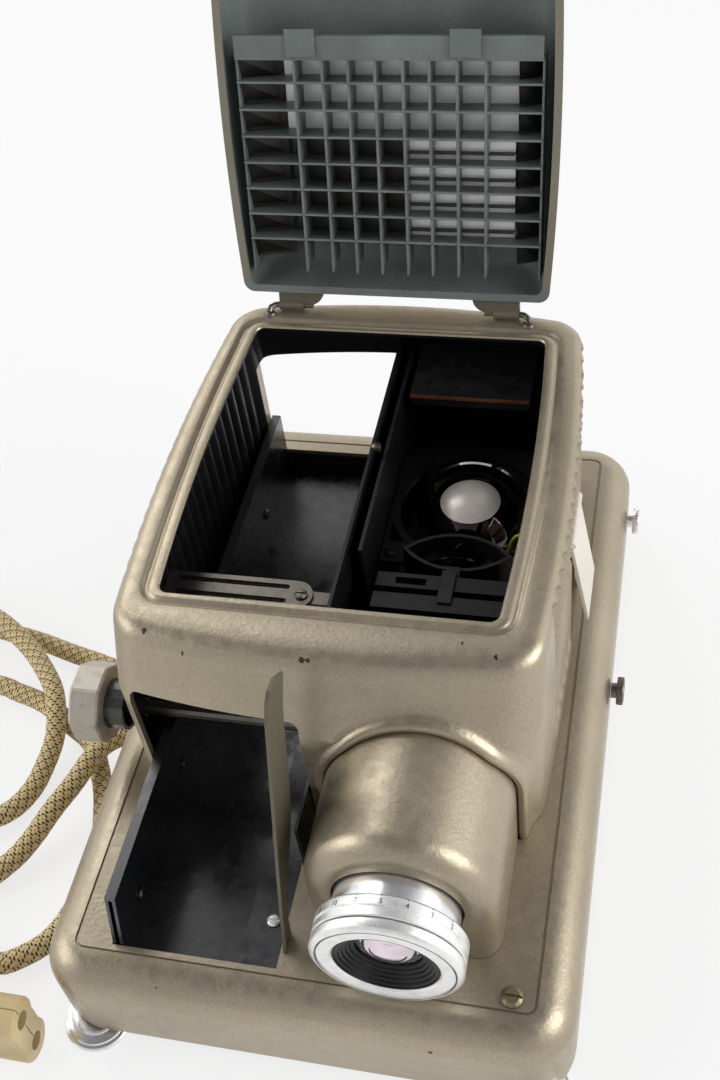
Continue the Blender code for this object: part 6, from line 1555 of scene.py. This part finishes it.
@dataclass
class Lead:
    """The braided mains lead: connector, free stretch, coil and plug, unplugged on the table."""

    diameter: float = 0.009
    route: tuple[Point, ...] = (
        (-0.1768, -0.1571, 0.0180), (-0.1858, -0.1571, 0.0180), (-0.1960, -0.1568, 0.0165),
        (-0.2110, -0.1530, 0.0095), (-0.2270, -0.1440, 0.0062),
        (-0.2325, -0.1265, 0.0052), (-0.2180, -0.1110, 0.0049), (-0.1880, -0.1130, 0.0049),
        (-0.1590, -0.1210, 0.0049),
        (-0.1350, -0.1285, 0.0049), (-0.1230, -0.1235, 0.0049), (-0.1135, -0.1130, 0.0049),
        (-0.1085, -0.0950, 0.0049),
        (-0.1075, -0.0740, 0.0049), (-0.1130, -0.0520, 0.0049), (-0.1190, -0.0380, 0.0049),
        (-0.1290, -0.0220, 0.0049),
        (-0.1410, -0.0140, 0.0049), (-0.1520, -0.0070, 0.0049), (-0.1630, -0.0020, 0.0049),
        (-0.1740, 0.0010, 0.0049),
        (-0.1850, 0.0040, 0.0049), (-0.2100, 0.0040, 0.0049), (-0.2310, -0.0080, 0.0049),
        (-0.2400, -0.0310, 0.0049),
        (-0.2310, -0.0560, 0.0049), (-0.2080, -0.0790, 0.0049), (-0.1780, -0.0960, 0.0049),
        (-0.1560, -0.0960, 0.0050),
        (-0.1440, -0.0850, 0.0062), (-0.1370, -0.0740, 0.0090), (-0.1310, -0.0620, 0.0135),
        (-0.1255, -0.0490, 0.0150),
        (-0.1220, -0.0360, 0.0150), (-0.1185, -0.0260, 0.0130), (-0.1120, -0.0150, 0.0080),
        (-0.1085, -0.0030, 0.0050),
        (-0.1118, 0.0070, 0.0049), (-0.1225, 0.0165, 0.0049), (-0.1380, 0.0220, 0.0049),
        (-0.1540, 0.0260, 0.0049),
        (-0.1720, 0.0310, 0.0049), (-0.1870, 0.0340, 0.0049), (-0.2020, 0.0360, 0.0049),
        (-0.2340, 0.0330, 0.0049),
        (-0.2640, 0.0150, 0.0049), (-0.2760, -0.0130, 0.0049), (-0.2700, -0.0420, 0.0049),
        (-0.2470, -0.0620, 0.0100),
        (-0.2150, -0.0680, 0.0150), (-0.1850, -0.0700, 0.0105), (-0.1640, -0.0670, 0.0062),
        (-0.1540, -0.0605, 0.0050),
        (-0.1480, -0.0490, 0.0050), (-0.1460, -0.0360, 0.0062), (-0.1450, -0.0240, 0.0095),
        (-0.1475, -0.0120, 0.0135),
        (-0.1520, -0.0020, 0.0150), (-0.1600, 0.0080, 0.0150), (-0.1700, 0.0180, 0.0150),
        (-0.1820, 0.0270, 0.0155),
        (-0.1950, 0.0350, 0.0155), (-0.2130, 0.0430, 0.0150), (-0.2350, 0.0520, 0.0100),
        (-0.2620, 0.0600, 0.0055),
        (-0.2860, 0.0620, 0.0049), (-0.3100, 0.0590, 0.0049))
    mouth: Point = (-0.1763, -0.1571, 0.018)
    coil_radius: float = 0.0575
    coil_place: tuple[float, float] = (-0.3760, 0.0005)
    coil_turns: int = 2
    coil_steps: int = 24
    coil_pitch: float = 0.0102
    coil_rise: float = 0.0101
    plug_lead: float = 0.036
    plug_level: float = 0.0188
    gap: float = 0.0003
    lobe: float = 0.0085
    lobe_pitch: float = 0.019
    connector_face: float = -0.1040
    connector_length: float = 0.056
    pin_hole: float = 0.0036
    seam_half: float = 0.00025
    plug_radius: float = 0.0183
    plug_length: float = 0.034
    plug_neck: tuple[float, float] = (0.0070, 0.014)
    plug_pins: float = 0.0095

    def on_coil(self, step: float, radius: float, rise: float) -> Vector:
        """Return the point that lies some steps along the coil, at a radius and a rise over its lower layer."""
        cx, cy = self.coil_place
        angle = math.pi / 2 + 2 * math.pi * step / self.coil_steps
        return Vector((cx + radius * math.cos(angle), cy + radius * math.sin(angle), self.diameter / 2 + rise))

    def coil_points(self) -> list[Vector]:
        """Return the coil's path: in along the lower layer, a climb, and out along the upper one."""
        turns, climb = self.coil_turns * self.coil_steps, self.coil_steps // 2
        pitch, rise = self.coil_pitch / self.coil_steps, self.coil_rise
        inner = self.coil_radius - pitch * turns
        points = [self.on_coil(k, self.coil_radius - pitch * k, 0.0) for k in range(turns + 1)]
        for k in range(1, climb + 1):
            share = k / climb
            points.append(self.on_coil(turns + k, inner - self.coil_pitch * share * (1 - share),
                                       rise * (0.5 - 0.5 * math.cos(math.pi * share))))
        points += [self.on_coil(turns + climb + k, inner + pitch * k, rise) for k in range(1, turns + 1)]
        return points

    def paths(self) -> tuple[list[Vector], list[Vector]]:
        """Return the free stretch's path and the coil's, about the base's middle."""
        coil = self.coil_points()
        way_in, run = Vector((-1, 0, 0)), self.diameter
        lead_in = [coil[0] - way_in * run * k / 2 for k in (2, 1)]
        way = (coil[-1] - coil[-2]).normalized()
        climb = Vector((0, 0, self.plug_level - coil[-1].z))
        lead_out = [coil[-1] + way * self.plug_lead * share + climb * eased(share, 0.0, 1.0)
                    for share in (k / 6 for k in range(1, 7))]
        lead_out.append(lead_out[-1] + way * run)
        whole = lead_in + coil + lead_out
        end = lead_in[0] - way_in * self.gap
        free = [self.mouth] + list(self.route[1:]) + [tuple(end - way_in * run * share) for share in (3, 2, 1,
                                                                                                      0)]
        return smooth_path(free, 420), smooth_path(whole, 420)

    def outline(self, grow: float) -> list[tuple[float, float]]:
        """Return the connector's two-lobed outline as (y, z) about its middle line, drawn in all round."""
        r, waist = self.lobe - grow, math.asin(0.80) * 0.55
        upper = arc((0.0, self.lobe + self.lobe_pitch), r, -waist, math.pi + waist, 20)
        return upper + arc((0.0, self.lobe), r, math.pi - waist, 2 * math.pi + waist, 20)

    def connector(self) -> None:
        """Build the two-lobed appliance connector, lying on its narrow side, split along its middle."""
        lobe, length, hole, seam = self.lobe, self.connector_length, self.pin_hole, self.seam_half
        face, y, axle = self.connector_face, self.mouth[1], self.mouth[2]
        low, high = lobe, lobe + self.lobe_pitch
        rows = [(-length, 0.0016), (-length + 0.0012, 0.0004), (-length + 0.004, 0.0), (-0.0012, 0.0),
                (-0.0004, 0.0003), (0.0, 0.0010)]
        bm = bmesh.new()
        skin(bm, [[(face + dx, y + px, pz) for px, pz in self.outline(g)] for dx, g in rows], capped=True)
        bore = [(0.0, 0.0), (hole, 0.0), (hole, 0.021), (hole + 0.0006, 0.0225), (0.0, 0.0225)]
        cutters = [revolve(bore, (face - 0.021, y, z), "x", 40) for z in (low, high)]
        front, back = face - 0.0009, face - length - OVERRUN
        for start, z0, z1 in ((front, low + hole + OVERRUN, high - hole - OVERRUN),
                              (front, high + hole + OVERRUN, high + lobe + OVERRUN),
                              (back, high + lobe - 0.0007, high + lobe + OVERRUN)):
            cutters.append(cut_box((start, y - seam, z0), (face + OVERRUN, y + seam, z1)))
        for foot in (0.0012 - lobe - 0.003, lobe - 0.0012):
            cutters.append(revolve([(0.0, 0.0), (0.0024, 0.0), (0.0024, 0.003), (0.0, 0.003)],
                                   (face - 0.030, y + foot, (low + high) / 2), "y", 24))
        mesh = carve(closed_mesh(bm, "connector", 40.0), cutters)
        soften(new_piece("appliance_plug_body", mesh, [Coat.BEIGE], "base", ["appliance_connector"]), 0.0002)
        path = [(face - length + out, y, axle) for out in (0.003, -0.004, -0.009, -0.016)]
        neck = tube_mesh("neck", smooth_path(path, 40), 0.0068, 32,
                         lambda s: 1.0 - 0.22 * s + (0.06 if int(s * 12) % 2 else 0.0))
        new_piece("connector_neck", neck, [Coat.BEIGE], "base")

    def plug(self, end: Vector, way: Vector) -> None:
        """Build the round mains plug with two pins, where the coil ends.

        Args:
            end: the lead's end, about the base's middle.
            way: the direction in which the lead leaves it.
        """
        r, length = self.plug_radius, self.plug_length
        neck, n = self.plug_neck
        profile = [(0.0, n + length), (r * 0.90, n + length), (r * 0.97, n + length - 0.0008),
                   (r, n + length - 0.003),
                   (r, n + length * 0.5), (r * 0.92, n + length * 0.46), (r * 0.88, n + length * 0.36),
                   (neck * 1.35, n), (neck * 0.98, n * 0.8)]
        profile += [(neck * (0.98 - 0.06 * (k % 2)), n * (0.75 - 0.12 * k)) for k in range(6)]
        profile += [(neck * 0.9, 0.0), (0.0, 0.0)]
        lean = Vector((0, 0, 1)).rotation_difference(way).to_matrix().to_4x4()
        turn = Matrix.Translation(end + way * self.gap) @ lean
        body = revolve(profile, (0.0, 0.0, 0.0), "z", 64)
        body.transform(turn)
        new_piece("mains_plug_body", body, [Coat.BEIGE], "base", ["mains_plug"])
        side = way.cross(Vector((0, 0, 1))).normalized()
        pins = []
        for sign in (-1, 1):
            pin = revolve([(0.0, 0.0), (0.0024, 0.0), (0.0024, 0.0182), (0.0016, 0.0202), (0.0, 0.0204)],
                          (0.0, 0.0, 0.0), "z", 24)
            pin.transform(Matrix.Translation(side * sign * self.plug_pins + way * (n + length - 0.0015)) @ turn)
            pins.append(pin)
        new_piece("mains_plug_pins", joined(pins, "pins"), [Coat.CHROME], "base")

    def build(self) -> None:
        """Lay the free stretch and the coil, each as a braided tube, with what they end in."""
        free, coil = self.paths()
        self.connector()
        self.plug(coil[-1], (coil[-1] - coil[-2]).normalized())
        laid = (("lead_braid", free, "cord", "fitting", "loose", ["appliance_plug_body", "connector_neck"]),
                ("lead_coil_braid", coil, "cord_coil", "plug", "coiled",
                 ["mains_plug_body", "mains_plug_pins"]))
        for name, path, node, far, lay, pieces in laid:
            piece = new_piece(name, tube_mesh(name, path, self.diameter / 2, 20), [Coat.BRAID], "base", [node])
            path = [p + DATUM for p in path]


@dataclass
class Studio:
    """The pale table, the soft lamps and the camera at the photograph's place."""

    camera_place: Point = (0.111198, -0.342714, 0.510061)
    right: Point = (0.97379488, 0.2002626, -0.10778882)
    down: Point = (0.07845593, -0.7406575, -0.66728639)
    ahead: Point = (-0.21346711, 0.6413434, -0.73696027)
    lens_mm: float = 45.4826
    shift: tuple[float, float] = (0.00636, -0.00104)
    table: float = 12.0
    white: float = 0.78
    aim: Point = (0.0, 0.0, 0.1)
    boxes: tuple[tuple[str, Point, float, float], ...] = (
        ("back_left", (-1.0, 0.85, 1.3), 1.0, 7.5), ("left", (-1.35, -0.35, 0.8), 0.9, 6.5),
        ("right", (1.3, -0.15, 0.75), 0.8, 11.5))

    def camera(self) -> None:
        """Set the camera where the photograph was taken."""
        data = bpy.data.cameras.new("camera")
        data.lens, data.sensor_width, data.sensor_fit = self.lens_mm, 36.0, 'AUTO'
        data.shift_x, data.shift_y = self.shift
        data.clip_start = 0.01
        item = bpy.data.objects.new("camera", data)
        axes = Matrix((self.right, tuple(-v for v in self.down), tuple(-v for v in self.ahead))).transposed()
        item.matrix_world = Matrix.Translation(self.camera_place) @ axes.to_4x4()
        bpy.context.scene.collection.objects.link(item)
        bpy.context.scene.camera = item

    def seen_white(self, tree: bpy.types.NodeTree, shader: bpy.types.NodeSocket,
                   share: float) -> bpy.types.NodeSocket:
        """Whiten a surface for the camera, in gloss and through glass, and keep a part of its shadow.

        Args:
            tree: the nodes.
            shader: the closure that the light falls on.
            share: share of plain white.

        Returns:
            The mixed closure.
        """
        rays = add_node(tree, "ShaderNodeLightPath")
        first = add_node(tree, "ShaderNodeMath", {"operation": 'ADD', "use_clamp": True},
                         {0: rays.outputs["Is Camera Ray"], 1: rays.outputs["Is Glossy Ray"]})
        seen = add_node(tree, "ShaderNodeMath", {"operation": 'ADD', "use_clamp": True},
                        {0: first.outputs[0], 1: rays.outputs["Is Transmission Ray"]})
        factor = add_node(tree, "ShaderNodeMath", {"operation": 'MULTIPLY', 1: share}, {0: seen.outputs[0]})
        white = add_node(tree, "ShaderNodeEmission", {"Color": linear("fcfcfc"), "Strength": 1.0})
        mixed = add_node(tree, "ShaderNodeMixShader",
                         links={0: factor.outputs[0], 1: shader, 2: white.outputs[0]})
        return mixed.outputs[0]

    def floor(self) -> None:
        """Lay the white table that keeps the object's shadow."""
        material = bpy.data.materials.new("white_table")
        material.use_nodes = True
        tree = material.node_tree
        tree.nodes.clear()
        paper = add_node(tree, "ShaderNodeBsdfDiffuse", {"Color": linear("f4f4f4")})
        seen = self.seen_white(tree, paper.outputs[0], self.white)
        add_node(tree, "ShaderNodeOutputMaterial", links={"Surface": seen})
        mesh = bpy.data.meshes.new("table")
        bm = bmesh.new()
        bmesh.ops.create_grid(bm, x_segments=8, y_segments=8, size=self.table)
        bm.to_mesh(mesh)
        bm.free()
        table = bpy.data.objects.new("table", mesh)
        mesh.materials.append(material)
        bpy.context.scene.collection.objects.link(table)

    def lamps(self) -> None:
        """Hang large soft lamps over and beside the table."""
        world = bpy.data.worlds.new("studio")
        bpy.context.scene.world = world
        world.use_nodes = True
        tree = world.node_tree
        tree.nodes.clear()
        aim = add_node(tree, "ShaderNodeTexCoord")
        parts = add_node(tree, "ShaderNodeSeparateXYZ", links={0: aim.outputs["Generated"]})
        sheet = add_node(tree, "ShaderNodeValToRGB", {"ramp": [
            (0.0, linear("ffffff")), (0.50, linear("f6f6f6")), (0.66, linear("c4c4c6")),
            (0.82, linear("7e7e81")),
            (1.0, linear("626266"))]}, {0: parts.outputs[2]})
        behind = add_node(tree, "ShaderNodeMapRange", {1: -0.9, 2: -0.1, 3: 0.62, 4: 1.2},
                          {0: parts.outputs[1]})
        sky = add_node(tree, "ShaderNodeBackground",
                       links={"Color": sheet.outputs[0], "Strength": behind.outputs[0]})
        add_node(tree, "ShaderNodeOutputWorld", links={"Surface": sky.outputs[0]})
        for name, place, size, power in self.boxes:
            data = bpy.data.lights.new(name, 'AREA')
            data.size, data.energy = size, power
            item = bpy.data.objects.new(name, data)
            item.location = place
            item.rotation_euler = (Vector(self.aim) - Vector(place)).to_track_quat('-Z', 'Y').to_euler()
            bpy.context.scene.collection.objects.link(item)

    def build(self) -> None:
        """Set up the whole studio."""
        bpy.context.scene.view_settings.view_transform = 'Standard'
        self.camera()
        self.floor()
        self.lamps()


def main() -> None:
    """Build the sub-assemblies in order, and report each."""
    logging.basicConfig(level=logging.INFO, format="%(name)s: %(message)s")
    for part in (Studio(), Base(), Track(), Housing(), Changer(), Lens(), LampHouse(), Lid(), VentFlap(),
                 Lead()):
        part.build()
        LOG.info("built %s", type(part).__name__)


if __name__ == "__main__":
    main()
